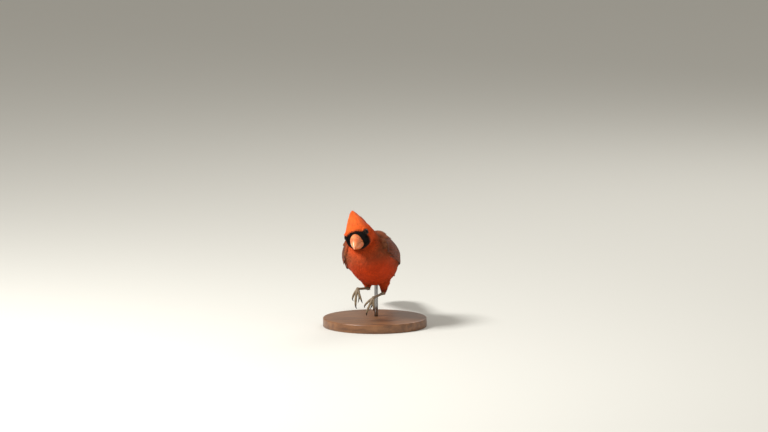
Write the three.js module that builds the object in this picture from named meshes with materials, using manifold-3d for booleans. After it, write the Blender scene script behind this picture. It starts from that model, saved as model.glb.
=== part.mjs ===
// Northern cardinal, adult male: a still, life-size model of the bird leaping with its wings shut, its legs
// thrust forward and its toes spread, held on a plain stand. Millimetres, +Z up, the bird faces -Y and its
// left side is +X. The origin is the centre of the underside of the stand's base.
import * as THREE from "three";
import { mergeVertices } from "three/addons/utils/BufferGeometryUtils.js";
import Module from "manifold-3d";

const wasm = await Module();
wasm.setup();

// Driving dimensions
const GAP = 0.3; // between two pieces that touch
const VANE_THICK = 0.6;

const BASE_RADIUS = 52;
const BASE_THICK = 9;
const BASE_BEVEL = 1.2;
const ROD_RADIUS = 1.9;
const ROD_AT = new THREE.Vector3(0, 14, 50); // its top end: x and y from the trunk, z from the floor

// Places in the bird are from the middle of its trunk, in level axes, or in the trunk's or head's own axes.
const BIRD_CENTRE = new THREE.Vector3(0, -8, 68);
const TRUNK_TURN = 0; // degrees, towards the bird's left
const TRUNK_PITCH = 21; // degrees, breast up
const TRUNK_TILT = 12; // degrees, back towards the bird's right

const TRUNK_FRONT = -46; // foremost point of the breast
const TRUNK_SHOULDER = -26; // where the rounded breast ends
const TRUNK_BACK = 66; // root of the tail
const NECK_FOOT = -15; // where the neck starts along the trunk
const NECK_TOP = 4; // where it ends along the head

const HEAD_CENTRE = new THREE.Vector3(-5.4, -40.6, 30.4);
const HEAD_TURN = 0; // degrees, towards the bird's left
const HEAD_DROP = 10; // degrees, bill down
const HEAD_TILT = 20; // degrees, crown towards the bird's right
const HEAD_FRONT = -14.5;
const HEAD_REAR = 15.5;

const EYE_RADIUS = 3.7;
const EYE_AT = new THREE.Vector3(9.2, -5.6, 2.4);
const LID_RADIUS = 2.75;
const LID_THICK = 0.62;
const LID_OUT = 2.35; // from the middle of the eye

const BILL_ROOT = HEAD_FRONT + 4.2; // in the head, as a place along it
const BILL_LENGTH = 17.2;
const LOWER_BILL_LENGTH = 15.2;
const NOSTRIL_AT = new THREE.Vector3(3.9, -16.1, 2);
const NOSTRIL_SIZE = new THREE.Vector3(0.9, 1.25, 0.7); // half its width, length and height

const CREST_TIP = new THREE.Vector3(-0.6, 13, 23.2);

const TAIL_ROOT = 58; // along the trunk
const TAIL_LENGTH = 99;
const TAIL_PAIRS = 6;
const TAIL_FAN = 0.95; // degrees between neighbours
const TAIL_HALF_WIDTH = 6.1; // of one feather
const TAIL_CAMBER = 0.022; // drop of the tail's edges, for each squared millimetre from its middle
const TAIL_BEND = 16; // degrees, towards the bird's right
const TAIL_LIFT = 12; // degrees, up from the line of the trunk

const TARSUS_LENGTH = 25.4;
const HEEL_RADIUS = 1.9;
const FOOT_RADIUS = 1.5;
const PALM_RADIUS = 1.75;
const HIP_AT = new THREE.Vector3(10, 4, -13);
const THIGH_RADII = [9.2, 5.8, 3.4, 2.2]; // from the hip to the heel
const TOE_CURL = 46; // degrees from a toe's root to its end
const TOE_LEAD = 10; // degrees that a front toe's root is turned towards the sole
const HIND_TOE_LEAD = 84;
const CLAW_CURL = 16; // degrees for each step of a claw

const COLOURS = {
  red: 0xb5331a,
  wing: 0x6b2a1c,
  tail: 0x8a2c1a,
  bill: 0xe08a52,
  eye: 0x120c0a,
  leg: 0x5a4438,
  claw: 0x2c211c,
  wood: 0x7a5a3c,
  metal: 0x9a9a9a,
};

// Stations of the trunk: y, half width, top, widest level, underside
const TRUNK = [
  [-46, 21.6, 20.6, 1, -21.4],
  [-26, 23, 22, 0.5, -23.2],
  [-8, 24.2, 22.4, -0.5, -24.8],
  [10, 23.8, 21.4, -1, -24.4],
  [26, 20, 18.6, 0, -19.2],
  [40, 14.8, 14, 1.2, -12.4],
  [52, 10.4, 10, 2, -6.4],
  [62, 7.8, 7, 2.2, -2.4],
  [68, 6.4, 5.6, 2.2, -1.2],
];

// Stations of the folded wings' outer surface: y, half width, height over the middle, level of the middle
const SHELL = [
  [-40, 19, 17, 0],
  [-26, 23.6, 21.8, 0],
  [-8, 25.2, 23.4, -0.5],
  [12, 24.8, 22.6, -0.5],
  [30, 20.6, 19.6, 0.5],
  [46, 15.2, 14.2, 2],
  [60, 11.6, 10.2, 3.2],
  [76, 8.6, 7.6, 3.6],
];

// Stations of the head: y, half width, crown, widest level, throat
const HEAD = [
  [-15, 9.4, 9.0, -1, -11],
  [-9, 12.2, 11.6, -1.5, -12.6],
  [-2, 14.4, 13.4, -2, -13.8],
  [5, 15, 14, -2, -14],
  [11, 13.8, 13, -2, -13.2],
  [16, 11.2, 10.6, -2, -11.6],
];

// Stations of the upper bill: distance from its base, culmen, half width, cutting edge
const UPPER_BILL = [
  [0, 5.2, 6.1, -5.0],
  [3.5, 4.8, 5.8, -3.4],
  [7, 3.6, 5.0, -2.9],
  [10.5, 1.6, 3.8, -3.2],
  [13.6, -1.1, 2.4, -4.2],
  [15.8, -3.7, 1.1, -5.5],
  [17.2, -5.6, 0.35, -6.2],
];

// Stations of the lower bill: distance from its base, cutting edge, half width, underside
const LOWER_BILL = [
  [0, -5.3, 5.8, -10.6],
  [3.5, -3.7, 5.4, -10.4],
  [7, -3.2, 4.5, -9.4],
  [10.5, -3.5, 3.2, -8.0],
  [13.2, -4.5, 1.8, -6.9],
  [15.2, -5.5, 0.5, -6.1],
];

// Shapes

const radians = THREE.MathUtils.degToRad;
const lerp = THREE.MathUtils.lerp;
const clamp = THREE.MathUtils.clamp;
const smoothstep = THREE.MathUtils.smoothstep;
const vector = (x, y, z) => new THREE.Vector3(x, y, z);

// One column of a table of stations at a place between its rows, on a smooth curve through them.
function along(stations, column, at) {
  const last = stations.length - 1;
  let i = 0;
  while (i < last - 1 && stations[i + 1][0] < at) i += 1;
  const slope = (k) => {
    const [a, b] = [stations[Math.max(k - 1, 0)], stations[Math.min(k + 1, last)]];
    return (b[column] - a[column]) / (b[0] - a[0]);
  };
  const span = stations[i + 1][0] - stations[i][0];
  const t = clamp((at - stations[i][0]) / span, 0, 1);
  const [p, q] = [stations[i][column], stations[i + 1][column]];
  const [m, n] = [slope(i) * span, slope(i + 1) * span];
  const [t2, t3] = [t * t, t * t * t];
  return (2 * t3 - 3 * t2 + 1) * p + (t3 - 2 * t2 + t) * m + (3 * t2 - 2 * t3) * q + (t3 - t2) * n;
}

// A closed body through rings of points, with a fan over each end. alike splits the two broad faces of a
// four-cornered vane by the same diagonals.
function loft(rings, alike = false) {
  const count = rings[0].length;
  const points = rings.flat();
  const faces = [];
  rings.slice(1).forEach((ring, r) => {
    for (let i = 0; i < count; i += 1) {
      const a = r * count + i;
      const b = r * count + ((i + 1) % count);
      const [c, d] = [a + count, b + count];
      if (alike && i === 2) faces.push(a, b, d, a, d, c);
      else faces.push(a, b, c, b, d, c);
    }
  });
  const centre = (ring) => ring.reduce((sum, p) => sum.add(p), vector(0, 0, 0)).divideScalar(count);
  const end = (rings.length - 1) * count;
  const first = points.length;
  points.push(centre(rings[0]), centre(rings.at(-1)));
  for (let i = 0; i < count; i += 1) {
    const next = (i + 1) % count;
    faces.push(first, next, i, first + 1, end + i, end + next);
  }
  return new THREE.BufferGeometry().setFromPoints(points).setIndex(faces);
}

// A geometry as a solid, whichever way round its faces are.
function solid(geometry) {
  const bare = geometry.clone();
  bare.deleteAttribute("normal");
  bare.deleteAttribute("uv");
  const merged = mergeVertices(bare, 1e-4);
  const vertProperties = merged.getAttribute("position").array;
  const triVerts = new Uint32Array(merged.index.array);
  const [a, b, c] = [vector(), vector(), vector()];
  let volume = 0;
  for (let i = 0; i < triVerts.length; i += 3) {
    a.fromArray(vertProperties, 3 * triVerts[i]);
    b.fromArray(vertProperties, 3 * triVerts[i + 1]);
    c.fromArray(vertProperties, 3 * triVerts[i + 2]);
    volume += a.dot(b.cross(c));
  }
  if (volume < 0) triVerts.reverse();
  return new wasm.Manifold(new wasm.Mesh({ numProp: 3, vertProperties, triVerts }));
}

const joined = (solids) => solids.reduce((whole, piece) => whole.add(piece));
const cutBy = (whole, cutters) => cutters.reduce((left, cutter) => left.subtract(cutter), whole);
const largest = (whole) => whole.decompose().reduce((a, b) => (b.volume() > a.volume() ? b : a));

function geometryOf(made) {
  const { numProp, vertProperties, triVerts } = made.getMesh();
  const points = [];
  for (let i = 0; i < vertProperties.length; i += numProp) {
    points.push(vector().fromArray(vertProperties, i));
  }
  return new THREE.BufferGeometry().setFromPoints(points).setIndex(Array.from(triVerts));
}

// A ring round the trunk's or head's long axis.
function ovalRing(y, halfWidth, top, middle, bottom, sides) {
  return Array.from({ length: sides }, (_, i) => {
    const angle = (2 * Math.PI * i) / sides;
    const height = Math.cos(angle) > 0 ? top - middle : middle - bottom;
    return vector(halfWidth * Math.sin(angle), y, middle + height * Math.cos(angle));
  });
}

// A body along Y from a table of ovals, rounded off over the given lengths at its two ends, grown by some
// clearance all over.
function ovalBody(stations, from, to, roundFront, roundBack, sides, steps, grow = 0) {
  const rings = [];
  for (let k = 0; k <= steps; k += 1) {
    const share = 0.5 - 0.5 * Math.cos((Math.PI * clamp(k, 0.35, steps - 0.35)) / steps);
    const y = lerp(from, to, share);
    const front = roundFront ? clamp((from + roundFront - y) / roundFront, 0, 1) : 0;
    const back = roundBack ? clamp((y - to + roundBack) / roundBack, 0, 1) : 0;
    const round = Math.sqrt(1 - Math.max(front, back) ** 2);
    const [width, top, middle, bottom] = [1, 2, 3, 4].map((column) => along(stations, column, y));
    const at = y + grow * (2 * share - 1);
    const up = (top - middle) * round + grow;
    const down = (middle - bottom) * round + grow;
    rings.push(ovalRing(at, width * round + grow, middle + up, middle, middle - down, sides));
  }
  return loft(rings);
}

// A round tapering piece along points, with a radius at each.
function tapered(points, radii, sides) {
  const rings = points.map((point, k) => {
    const ahead = points[Math.min(k + 1, points.length - 1)];
    const behind = points[Math.max(k - 1, 0)];
    const way = ahead.clone().sub(behind).normalize();
    const side = vector(0.31, 0.17, 0.93).cross(way).normalize();
    const up = way.clone().cross(side);
    return Array.from({ length: sides }, (_, i) => {
      const angle = (2 * Math.PI * i) / sides;
      const [across, over] = [radii[k] * Math.cos(angle), radii[k] * Math.sin(angle)];
      return point.clone().addScaledVector(side, across).addScaledVector(up, over);
    });
  });
  return loft(rings);
}

// Half width of a feather along its length, from its root at 0 to its tip at 1, as a share of its widest.
function vaneOutline(share, pointed) {
  const root = lerp(0.5, 1, smoothstep(share, 0, 0.4));
  const tip = Math.sqrt(Math.max(0, 1 - clamp((share - pointed) / (1 - pointed), 0, 1) ** 2.2));
  return root * Math.max(tip, 0.16);
}

// Places along a feather: close together near its rounded tip.
function vaneShares(steps) {
  return Array.from({ length: steps + 1 }, (_, k) => Math.sin((0.5 * Math.PI * k) / steps) ** 0.9);
}

// Trunk, neck and head

const trunkBody = (grow) =>
  ovalBody(TRUNK, TRUNK_FRONT, TRUNK_BACK, TRUNK_SHOULDER - TRUNK_FRONT, 6, 26, 16, grow);
const headBody = (grow) => ovalBody(HEAD, HEAD_FRONT, HEAD_REAR, 9, 10, 24, 12, grow);

// Turned about the vertical, then pitched, then tilted about its own long axis.
function pose(centre, turn, drop, tilt) {
  return new THREE.Matrix4()
    .makeTranslation(centre)
    .multiply(new THREE.Matrix4().makeRotationZ(radians(turn)))
    .multiply(new THREE.Matrix4().makeRotationX(radians(drop)))
    .multiply(new THREE.Matrix4().makeRotationY(radians(-tilt)));
}
const trunkPose = pose(vector(0, 0, 0), TRUNK_TURN, -TRUNK_PITCH, TRUNK_TILT);
const headPose = pose(HEAD_CENTRE, HEAD_TURN, HEAD_DROP, HEAD_TILT);
const trunkSolid = (geometry) => solid(geometry.clone().applyMatrix4(trunkPose));
const headSolid = (geometry) => solid(geometry.clone().applyMatrix4(headPose));

// The neck runs from just inside the shoulders to just inside the back of the head, and leaves each of them
// along its own axis.
function neckBody(grow = 0) {
  const sides = 24;
  const section = (stations, y, share, matrix) => {
    const [width, top, middle, bottom] = [1, 2, 3, 4].map((column) => along(stations, column, y));
    const [up, down] = [(top - middle) * share.top, (middle - bottom) * share.bottom];
    return ovalRing(y, width * share.side + grow, middle + up + grow, middle, middle - down - grow, sides)
      .map((point) => point.applyMatrix4(matrix));
  };
  const from = section(TRUNK, NECK_FOOT, { side: 0.9, top: 0.95, bottom: 0.85 }, trunkPose);
  const to = section(HEAD, NECK_TOP, { side: 0.95, top: 0.93, bottom: 0.9 }, headPose);
  const ahead = vector(0, -1, 0).transformDirection(trunkPose);
  const behind = vector(0, 1, 0).transformDirection(headPose);
  const shares = [0, 0.2, 0.4, 0.6, 0.8, 1];
  return loft(shares.map((share) => from.map((start, i) => {
    const bend = [start.clone().addScaledVector(ahead, 12), to[i].clone().addScaledVector(behind, 9)];
    return new THREE.CubicBezierCurve3(start, ...bend, to[i]).getPoint(share);
  })));
}

// The dense roots of the crest, which the crest's feathers leave on all sides.
function crestCore() {
  const levels = [
    { z: 6, y: [-12, 14.5], half: 10 },
    { z: 12.5, y: [-7, 14.5], half: 7.6 },
    { z: 16.5, y: [0, 14], half: 4.2 },
    { z: 19, y: [7, 13.2], half: 1.6 },
  ];
  const rings = levels.map(({ z, y, half }) =>
    Array.from({ length: 14 }, (_, i) => {
      const angle = (2 * Math.PI * i) / 14;
      const middle = (y[0] + y[1]) / 2;
      return vector(half * Math.sin(angle), middle + ((y[1] - y[0]) / 2) * Math.cos(angle), z);
    }),
  );
  return loft(rings);
}

// Crest: feathers in rows across the crown, each leaning back and in towards the crest's tip.
function crestFeathers() {
  const rows = [
    { y: -9.5, count: 3, half: 5, reach: 0.4 },
    { y: -5.5, count: 4, half: 7.6, reach: 0.6 },
    { y: -1, count: 4, half: 8.4, reach: 0.8 },
    { y: 3.5, count: 3, half: 6.4, reach: 1 },
    { y: 8, count: 4, half: 7.8, reach: 0.86 },
    { y: 12, count: 3, half: 6, reach: 0.6 },
  ];
  const peak = 3;
  return rows.flatMap(({ y, count, half, reach }, row) =>
    Array.from({ length: count }, (_, i) => {
      const side = (2 * i) / (count - 1) - 1;
      const x = side * half;
      const root = vector(x, y, along(HEAD, 2, y) - 3.4 - 2.6 * side * side);
      const edge = row <= peak ? vector(0, HEAD_FRONT + 2, 11) : vector(0, 19, 11);
      const tip = edge.lerp(CREST_TIP, reach);
      tip.x += x * 0.4;
      tip.z -= 2.4 * Math.abs(side);
      return crestVane(root, tip, 3.3 + 0.4 * (1 - Math.abs(side)));
    }),
  );
}

// One crest feather: it bends back on its way up and narrows to a rounded point.
function crestVane(root, tip, halfWidth) {
  const bulge = vector(0, -1, 0.35).multiplyScalar(0.12 * root.distanceTo(tip));
  const middle = root.clone().lerp(tip, 0.5).add(bulge);
  const path = new THREE.QuadraticBezierCurve3(root, middle, tip);
  const rings = [0, 0.45, 0.82, 1].map((share) => {
    const point = path.getPoint(share);
    const way = path.getTangent(Math.min(share, 0.98));
    const across = way.clone().cross(vector(0, -1, 0.4)).normalize();
    const over = across.clone().cross(way).normalize();
    const wide = halfWidth * vaneOutline(share, 0.45);
    const thick = lerp(VANE_THICK * 1.5, VANE_THICK * 0.6, share) / 2;
    return [[-1, 1], [1, 1], [1, -1], [-1, -1]].map(([s, t]) =>
      point.clone().addScaledVector(across, s * wide).addScaledVector(over, t * thick),
    );
  });
  return loft(rings, true);
}

function lidRing(side) {
  const outward = vector(side, -0.34, 0.1).normalize();
  const ring = new THREE.TorusGeometry(LID_RADIUS, LID_THICK, 5, 16);
  ring.applyQuaternion(new THREE.Quaternion().setFromUnitVectors(vector(0, 0, 1), outward));
  const at = vector(side * EYE_AT.x, EYE_AT.y, EYE_AT.z).addScaledVector(outward, LID_OUT);
  return ring.translate(at.x, at.y, at.z);
}

function eyeBall(side, grow = 0) {
  const ball = new THREE.SphereGeometry(EYE_RADIUS + grow, 14, 10);
  return ball.translate(side * EYE_AT.x, EYE_AT.y, EYE_AT.z);
}

// Bill

// One half of the bill: an arch over or under its cutting edge.
function billHalf(stations, length, upper, grow = 0) {
  const [edgeColumn, ridgeColumn] = upper ? [3, 1] : [1, 3];
  const shares = upper ? [0, 0.17, 0.34, 0.5, 0.65, 0.79, 0.91, 1] : [0, 0.2, 0.4, 0.6, 0.8, 0.93, 1];
  const rings = shares.map((share) => {
    const far = share * length;
    const y = BILL_ROOT - far;
    const edge = along(stations, edgeColumn, far);
    const rise = along(stations, ridgeColumn, far) - edge;
    const wide = along(stations, 2, far) + grow;
    return Array.from({ length: 11 }, (_, i) => {
      const angle = (Math.PI * i) / 10;
      const over = Math.sin(angle) ** 0.86;
      return vector(wide * Math.cos(angle), y, edge + (rise + Math.sign(rise) * grow) * over);
    });
  });
  return loft(rings);
}

function nostril(side) {
  const pit = new THREE.SphereGeometry(1, 10, 8).scale(...NOSTRIL_SIZE);
  return pit.translate(side * NOSTRIL_AT.x, NOSTRIL_AT.y, NOSTRIL_AT.z);
}

// Wings

// A point of the folded wings' surface, so far out from it; angle is from straight up, in degrees.
function shellPoint(y, angle, out) {
  const [wide, high, level] = [1, 2, 3].map((column) => along(SHELL, column, y));
  const turn = radians(angle);
  return vector((wide + out) * Math.sin(turn), y, level + (high + out) * Math.cos(turn));
}

// The same point moved on to the surface, so far out from it.
function onShell(point, out) {
  const [wide, high, level] = [1, 2, 3].map((column) => along(SHELL, column, point.y));
  const turn = Math.atan2(point.x / wide, (point.z - level) / high);
  return shellPoint(point.y, THREE.MathUtils.radToDeg(turn), out);
}

// A feather that lies on the surface from its root to its tip, with its lower edge over its neighbour.
function shellVane({ root, tip, halfWidth, out, pointed, steps }) {
  const tilt = 0.32;
  const at = (share) => {
    const [y, angle] = [0, 1].map((k) => lerp(root[k], tip[k], share));
    return shellPoint(y, angle, 0);
  };
  const rings = vaneShares(steps).map((share) => {
    const point = at(share);
    const ahead = Math.min(share + 0.02, 1);
    const way = at(ahead).sub(at(ahead - 0.04)).normalize();
    const normal = vector(point.x, 0, point.z).normalize();
    const across = normal.clone().cross(way).normalize();
    const wide = halfWidth * vaneOutline(share, pointed);
    const thick = lerp(VANE_THICK, VANE_THICK * 0.75, share) / 2;
    return [[-1, 1], [1, 1], [1, -1], [-1, -1]].map(([s, t]) =>
      onShell(point.clone().addScaledVector(across, s * wide), out - s * tilt + t * thick),
    );
  });
  return loft(rings, true);
}

// A row of feathers from its first to its last, by even steps between two sets of places.
function featherRow(count, first, last, bow = 0) {
  return Array.from({ length: count }, (_, i) => {
    const share = count > 1 ? i / (count - 1) : 0;
    const hump = 4 * share * (1 - share) * bow;
    const pair = (key) => [0, 1].map((k) => lerp(first[key][k], last[key][k], share));
    const tip = pair("tip");
    return shellVane({
      ...first,
      root: pair("root"),
      tip: [tip[0] + hump, tip[1]],
      halfWidth: lerp(first.halfWidth, last.halfWidth, share),
      out: lerp(first.out, last.out, share),
    });
  });
}

// The flesh and small feathers of the shoulder and arm, as a smooth pad that the rows of feathers leave.
function shoulderPad() {
  const [yFrom, yTo] = [-36, 2];
  const steps = 7;
  const rings = Array.from({ length: steps + 1 }, (_, k) => {
    const share = k / steps;
    const y = lerp(yFrom, yTo, share);
    const full = Math.sqrt(Math.max(0.04, 1 - (2 * share - 1) ** 2));
    const [upper, lower] = [66 - 32 * full, 74 + 30 * full];
    const top = Array.from({ length: 7 }, (_, i) => {
      const across = i / 6;
      const dome = Math.sin(Math.PI * across);
      return shellPoint(y, lerp(upper, lower, across), 0.1 + 1.9 * dome * full);
    });
    const under = [0.8, 0.5, 0.2].map((across) => shellPoint(y, lerp(upper, lower, across), -2.6 * full));
    return [...top, ...under];
  });
  return loft(rings);
}

function wingFeathers() {
  const primaries = featherRow(
    7,
    { root: [-8, 84], tip: [44, 66], halfWidth: 4.8, out: 0.7, pointed: 0.7, steps: 4 },
    { root: [-16, 101], tip: [50, 78], halfWidth: 3.8, out: 0.3 },
    10,
  );
  const secondaries = featherRow(
    4,
    { root: [0, 54], tip: [37, 42], halfWidth: 6, out: 1.5, pointed: 0.72, steps: 3 },
    { root: [-8, 80], tip: [42, 60], halfWidth: 5.6, out: 0.9 },
  );
  const tertials = featherRow(
    3,
    { root: [-4, 36], tip: [18, 31], halfWidth: 5.8, out: 2.5, pointed: 0.6, steps: 3 },
    { root: [0, 48], tip: [33, 38], halfWidth: 5.8, out: 1.9 },
  );
  const greaterCoverts = featherRow(
    5,
    { root: [-14, 42], tip: [5, 38], halfWidth: 5.8, out: 3.0, pointed: 0.5, steps: 3 },
    { root: [-20, 98], tip: [4, 90], halfWidth: 5, out: 1.7 },
    3,
  );
  const medianCoverts = featherRow(
    4,
    { root: [-24, 44], tip: [-8, 40], halfWidth: 6, out: 3.0, pointed: 0.45, steps: 3 },
    { root: [-29, 96], tip: [-13, 92], halfWidth: 5.6, out: 2.0 },
    2,
  );
  const primaryCoverts = featherRow(
    2,
    { root: [-22, 90], tip: [8, 84], halfWidth: 4, out: 1.4, pointed: 0.6, steps: 3 },
    { root: [-26, 104], tip: [2, 95], halfWidth: 3.8, out: 0.9 },
  );
  return [primaries, secondaries, tertials, greaterCoverts, medianCoverts, primaryCoverts].flat();
}

const mirrored = (geometry) => geometry.clone().scale(-1, 1, 1);

// Tail: six pairs of feathers, the middle pair on top, each next one lower and further out.
function tailFeathers() {
  return Array.from({ length: TAIL_PAIRS }, (_, pair) =>
    [-1, 1].map((side) => {
      const fan = radians(side * (0.5 + TAIL_FAN * pair));
      const length = TAIL_LENGTH - 0.33 * pair * pair - (pair === TAIL_PAIRS - 1 ? 3 : 0);
      const level = 3.2 - 0.42 * pair - (side > 0 ? 0.12 : 0);
      return tailVane(side * (1.1 + 0.55 * pair), fan, length, level, side);
    }),
  ).flat();
}

function tailVane(x, fan, length, level, side) {
  const rings = vaneShares(4).map((share) => {
    const far = share * length;
    const wide = TAIL_HALF_WIDTH * vaneOutline(share, 0.86);
    const centre = vector(x + far * Math.sin(fan), TAIL_ROOT + far * Math.cos(fan), level);
    const thick = lerp(VANE_THICK * 1.2, VANE_THICK * 0.8, share) / 2;
    return [[-1, 1], [1, 1], [1, -1], [-1, -1]].map(([s, t]) => {
      const droop = TAIL_CAMBER * (x + s * wide) ** 2 * share;
      return centre.clone().add(vector(s * wide, 0, t * thick - droop - s * side * 0.18));
    });
  });
  return loft(rings, true);
}

function bendTail(geometry) {
  const turn = new THREE.Matrix4()
    .makeTranslation(0, TAIL_ROOT, 2)
    .multiply(new THREE.Matrix4().makeRotationZ(radians(TAIL_BEND)))
    .multiply(new THREE.Matrix4().makeRotationX(radians(TAIL_LIFT)))
    .multiply(new THREE.Matrix4().makeTranslation(0, -TAIL_ROOT, -2));
  return geometry.applyMatrix4(turn);
}

// Legs and feet

const LEGS = {
  left: { side: 1, heel: [10.8, 0.3, -33], shank: [-3.9, -25.1, -0.7], toes: [-0.37, -0.63, -0.68] },
  right: { side: -1, heel: [-4.6, -1, -28.5], shank: [-4.4, -24.8, 3.2], toes: [-0.16, -0.7, -0.69] },
};
const TOE_SPREAD = 31; // degrees between neighbours

// Toes: place round the foot, length without the claw, claw length, radius at the root
const TOES = {
  inner: { at: -1, length: 10.5, claw: 5.6, radius: 1.15 },
  middle: { at: 0, length: 16.5, claw: 6.2, radius: 1.3 },
  outer: { at: 1, length: 11.8, claw: 5.6, radius: 1.15 },
  hind: { at: 0, length: 9.2, claw: 7.2, radius: 1.25 },
};

function legPieces(name) {
  const { side } = LEGS[name];
  const [heel, shank, toes] = ["heel", "shank", "toes"].map((key) => vector(...LEGS[name][key]));
  const way = shank.normalize();
  const foot = heel.clone().addScaledVector(way, TARSUS_LENGTH);
  const hip = vector(side * HIP_AT.x, HIP_AT.y, HIP_AT.z);
  const bend = heel.clone().lerp(hip, 0.45).add(vector(0, 2.5, 0));
  const thigh = tapered([hip, bend, heel.clone().lerp(bend, 0.25), heel], THIGH_RADII, 16);
  const from = heel.clone().addScaledVector(way, 1.6);
  const shankPoints = [0, 0.08, 0.3, 0.8, 0.94, 1].map((share) => from.clone().lerp(foot, share));
  const shankRadii = [HEEL_RADIUS, 1.55, 1.15, 1.12, 1.35, FOOT_RADIUS];
  const bone = tapered(shankPoints, shankRadii, 10);
  const clearFrom = from.clone().addScaledVector(way, -GAP);
  const clearTo = foot.clone().addScaledVector(way, GAP);
  const clearPoints = [clearFrom, ...shankPoints.slice(1, -1), clearTo];
  const boneClear = tapered(clearPoints, shankRadii.map((radius) => radius + GAP), 10);
  const ahead = toes.normalize();
  const sole = way.clone().addScaledVector(ahead, -way.dot(ahead)).normalize().negate();
  const palm = foot.clone().addScaledVector(way, 1.2).addScaledVector(ahead, 0.6);
  const digits = Object.entries(TOES).map(([toe, { at, length, claw, radius }]) => {
    const hind = toe === "hind";
    const straight = ahead.clone().applyAxisAngle(sole, radians(hind ? 180 : at * side * TOE_SPREAD));
    const curlAxis = straight.clone().cross(sole).normalize();
    const root = palm.clone().addScaledVector(sole, hind ? 0.8 : 0);
    const lead = hind ? HIND_TOE_LEAD : TOE_LEAD;
    return { toe, ...digitPieces(root, straight, curlAxis, length, claw, radius, lead) };
  });
  return { thigh, bone, boneClear, palm, digits };
}

// A toe and its claw: joints that curl further and further towards the sole.
function digitPieces(palm, straight, curlAxis, length, claw, radius, lead) {
  const steps = 4;
  const heading = (share) => straight.clone().applyAxisAngle(curlAxis, radians(lead + TOE_CURL * share));
  const points = [palm.clone()];
  for (let k = 1; k <= steps; k += 1) {
    points.push(points.at(-1).clone().addScaledVector(heading((k - 0.5) / steps), length / steps));
  }
  const radii = [1, 1.02, 0.92, 0.9, 0.72].map((share) => radius * share);
  const start = points.at(-1).clone().addScaledVector(heading(1), GAP);
  const clawSteps = 4;
  const clawPoints = [start];
  for (let k = 1; k <= clawSteps; k += 1) {
    const turn = lead + TOE_CURL + CLAW_CURL * k - 10;
    const turned = straight.clone().applyAxisAngle(curlAxis, radians(turn));
    clawPoints.push(clawPoints.at(-1).clone().addScaledVector(turned, claw / clawSteps));
  }
  const clawRadii = clawPoints.map((_, k) => radius * 0.66 * (1 - 0.86 * (k / clawSteps) ** 1.3));
  const clearPoints = [start.clone().addScaledVector(heading(1), -GAP / 2), ...clawPoints.slice(1)];
  return {
    digit: tapered(points, radii, 6),
    nail: tapered(clawPoints, clawRadii, 6),
    nailClear: tapered(clearPoints, clawRadii.map((clawRadius) => clawRadius + 0.2), 6),
  };
}

// The model

function material(colour, roughness, metalness = 0) {
  return new THREE.MeshStandardMaterial({ color: colour, roughness, metalness });
}

const finishes = {
  red: material(COLOURS.red, 0.85),
  wing: material(COLOURS.wing, 0.8),
  tail: material(COLOURS.tail, 0.8),
  bill: material(COLOURS.bill, 0.4),
  eye: material(COLOURS.eye, 0.08),
  leg: material(COLOURS.leg, 0.6),
  claw: material(COLOURS.claw, 0.4),
  wood: material(COLOURS.wood, 0.55),
  metal: material(COLOURS.metal, 0.3, 1),
};

const model = new THREE.Group();
model.name = "cardinal_on_stand";
const bird = new THREE.Group();
bird.position.copy(BIRD_CENTRE);
model.add(bird);

function addTo(group, name, piece, finish) {
  const geometry = piece.isBufferGeometry ? piece : geometryOf(piece);
  const mesh = new THREE.Mesh(geometry, finish);
  mesh.name = name;
  group.add(mesh);
}

// Stand: a bevelled disc and one rod up into the belly.
const half = BASE_THICK / 2;
const baseOutline = [
  [0, -half],
  [BASE_RADIUS - BASE_BEVEL / 2, -half],
  [BASE_RADIUS, -half + BASE_BEVEL / 2],
  [BASE_RADIUS, half - BASE_BEVEL],
  [BASE_RADIUS - BASE_BEVEL, half],
  [0, half],
].map(([x, y]) => new THREE.Vector2(x, y));
const base = new THREE.LatheGeometry(baseOutline, 48).rotateX(Math.PI / 2).translate(0, 0, half);
addTo(model, "stand_base", solid(base), finishes.wood);

// The rod stands behind the feet and ends in a blind hole in the belly.
function rodShape(radius, bottom, top) {
  const shaft = new THREE.CylinderGeometry(radius, radius, top - bottom, 20).rotateX(Math.PI / 2);
  return solid(shaft.translate(ROD_AT.x, ROD_AT.y, (top + bottom) / 2));
}
const rodTop = ROD_AT.z - BIRD_CENTRE.z;
const rodFoot = BASE_THICK + GAP - BIRD_CENTRE.z;
addTo(bird, "stand_rod", rodShape(ROD_RADIUS, rodFoot, rodTop), finishes.metal);
const rodSocket = rodShape(ROD_RADIUS + GAP, rodFoot, rodTop + GAP);

// Head, neck and trunk meet face to face.
const trunkClear = trunkSolid(trunkBody(GAP));
const headClear = headSolid(headBody(GAP));
const neckClear = solid(neckBody(GAP));
const crestWhole = joined([crestCore(), ...crestFeathers()].map((piece) => headSolid(piece)));
const lids = [-1, 1].map((side) => headSolid(lidRing(side)));
const sockets = [-1, 1].map((side) => headSolid(eyeBall(side, GAP)));
const billClear = [
  headSolid(billHalf(UPPER_BILL, BILL_LENGTH, true, GAP)),
  headSolid(billHalf(LOWER_BILL, LOWER_BILL_LENGTH, false, GAP)),
];
const headWhole = joined([headSolid(headBody(0)), crestWhole.subtract(neckClear), ...lids]);
addTo(bird, "head", largest(cutBy(headWhole, [...sockets, ...billClear])), finishes.red);
addTo(bird, "neck", largest(cutBy(solid(neckBody()), [headClear, trunkClear])), finishes.red);
const trunk = largest(cutBy(trunkSolid(trunkBody(0)), [headClear, ...billClear, rodSocket]));
addTo(bird, "trunk", trunk, finishes.red);

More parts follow.
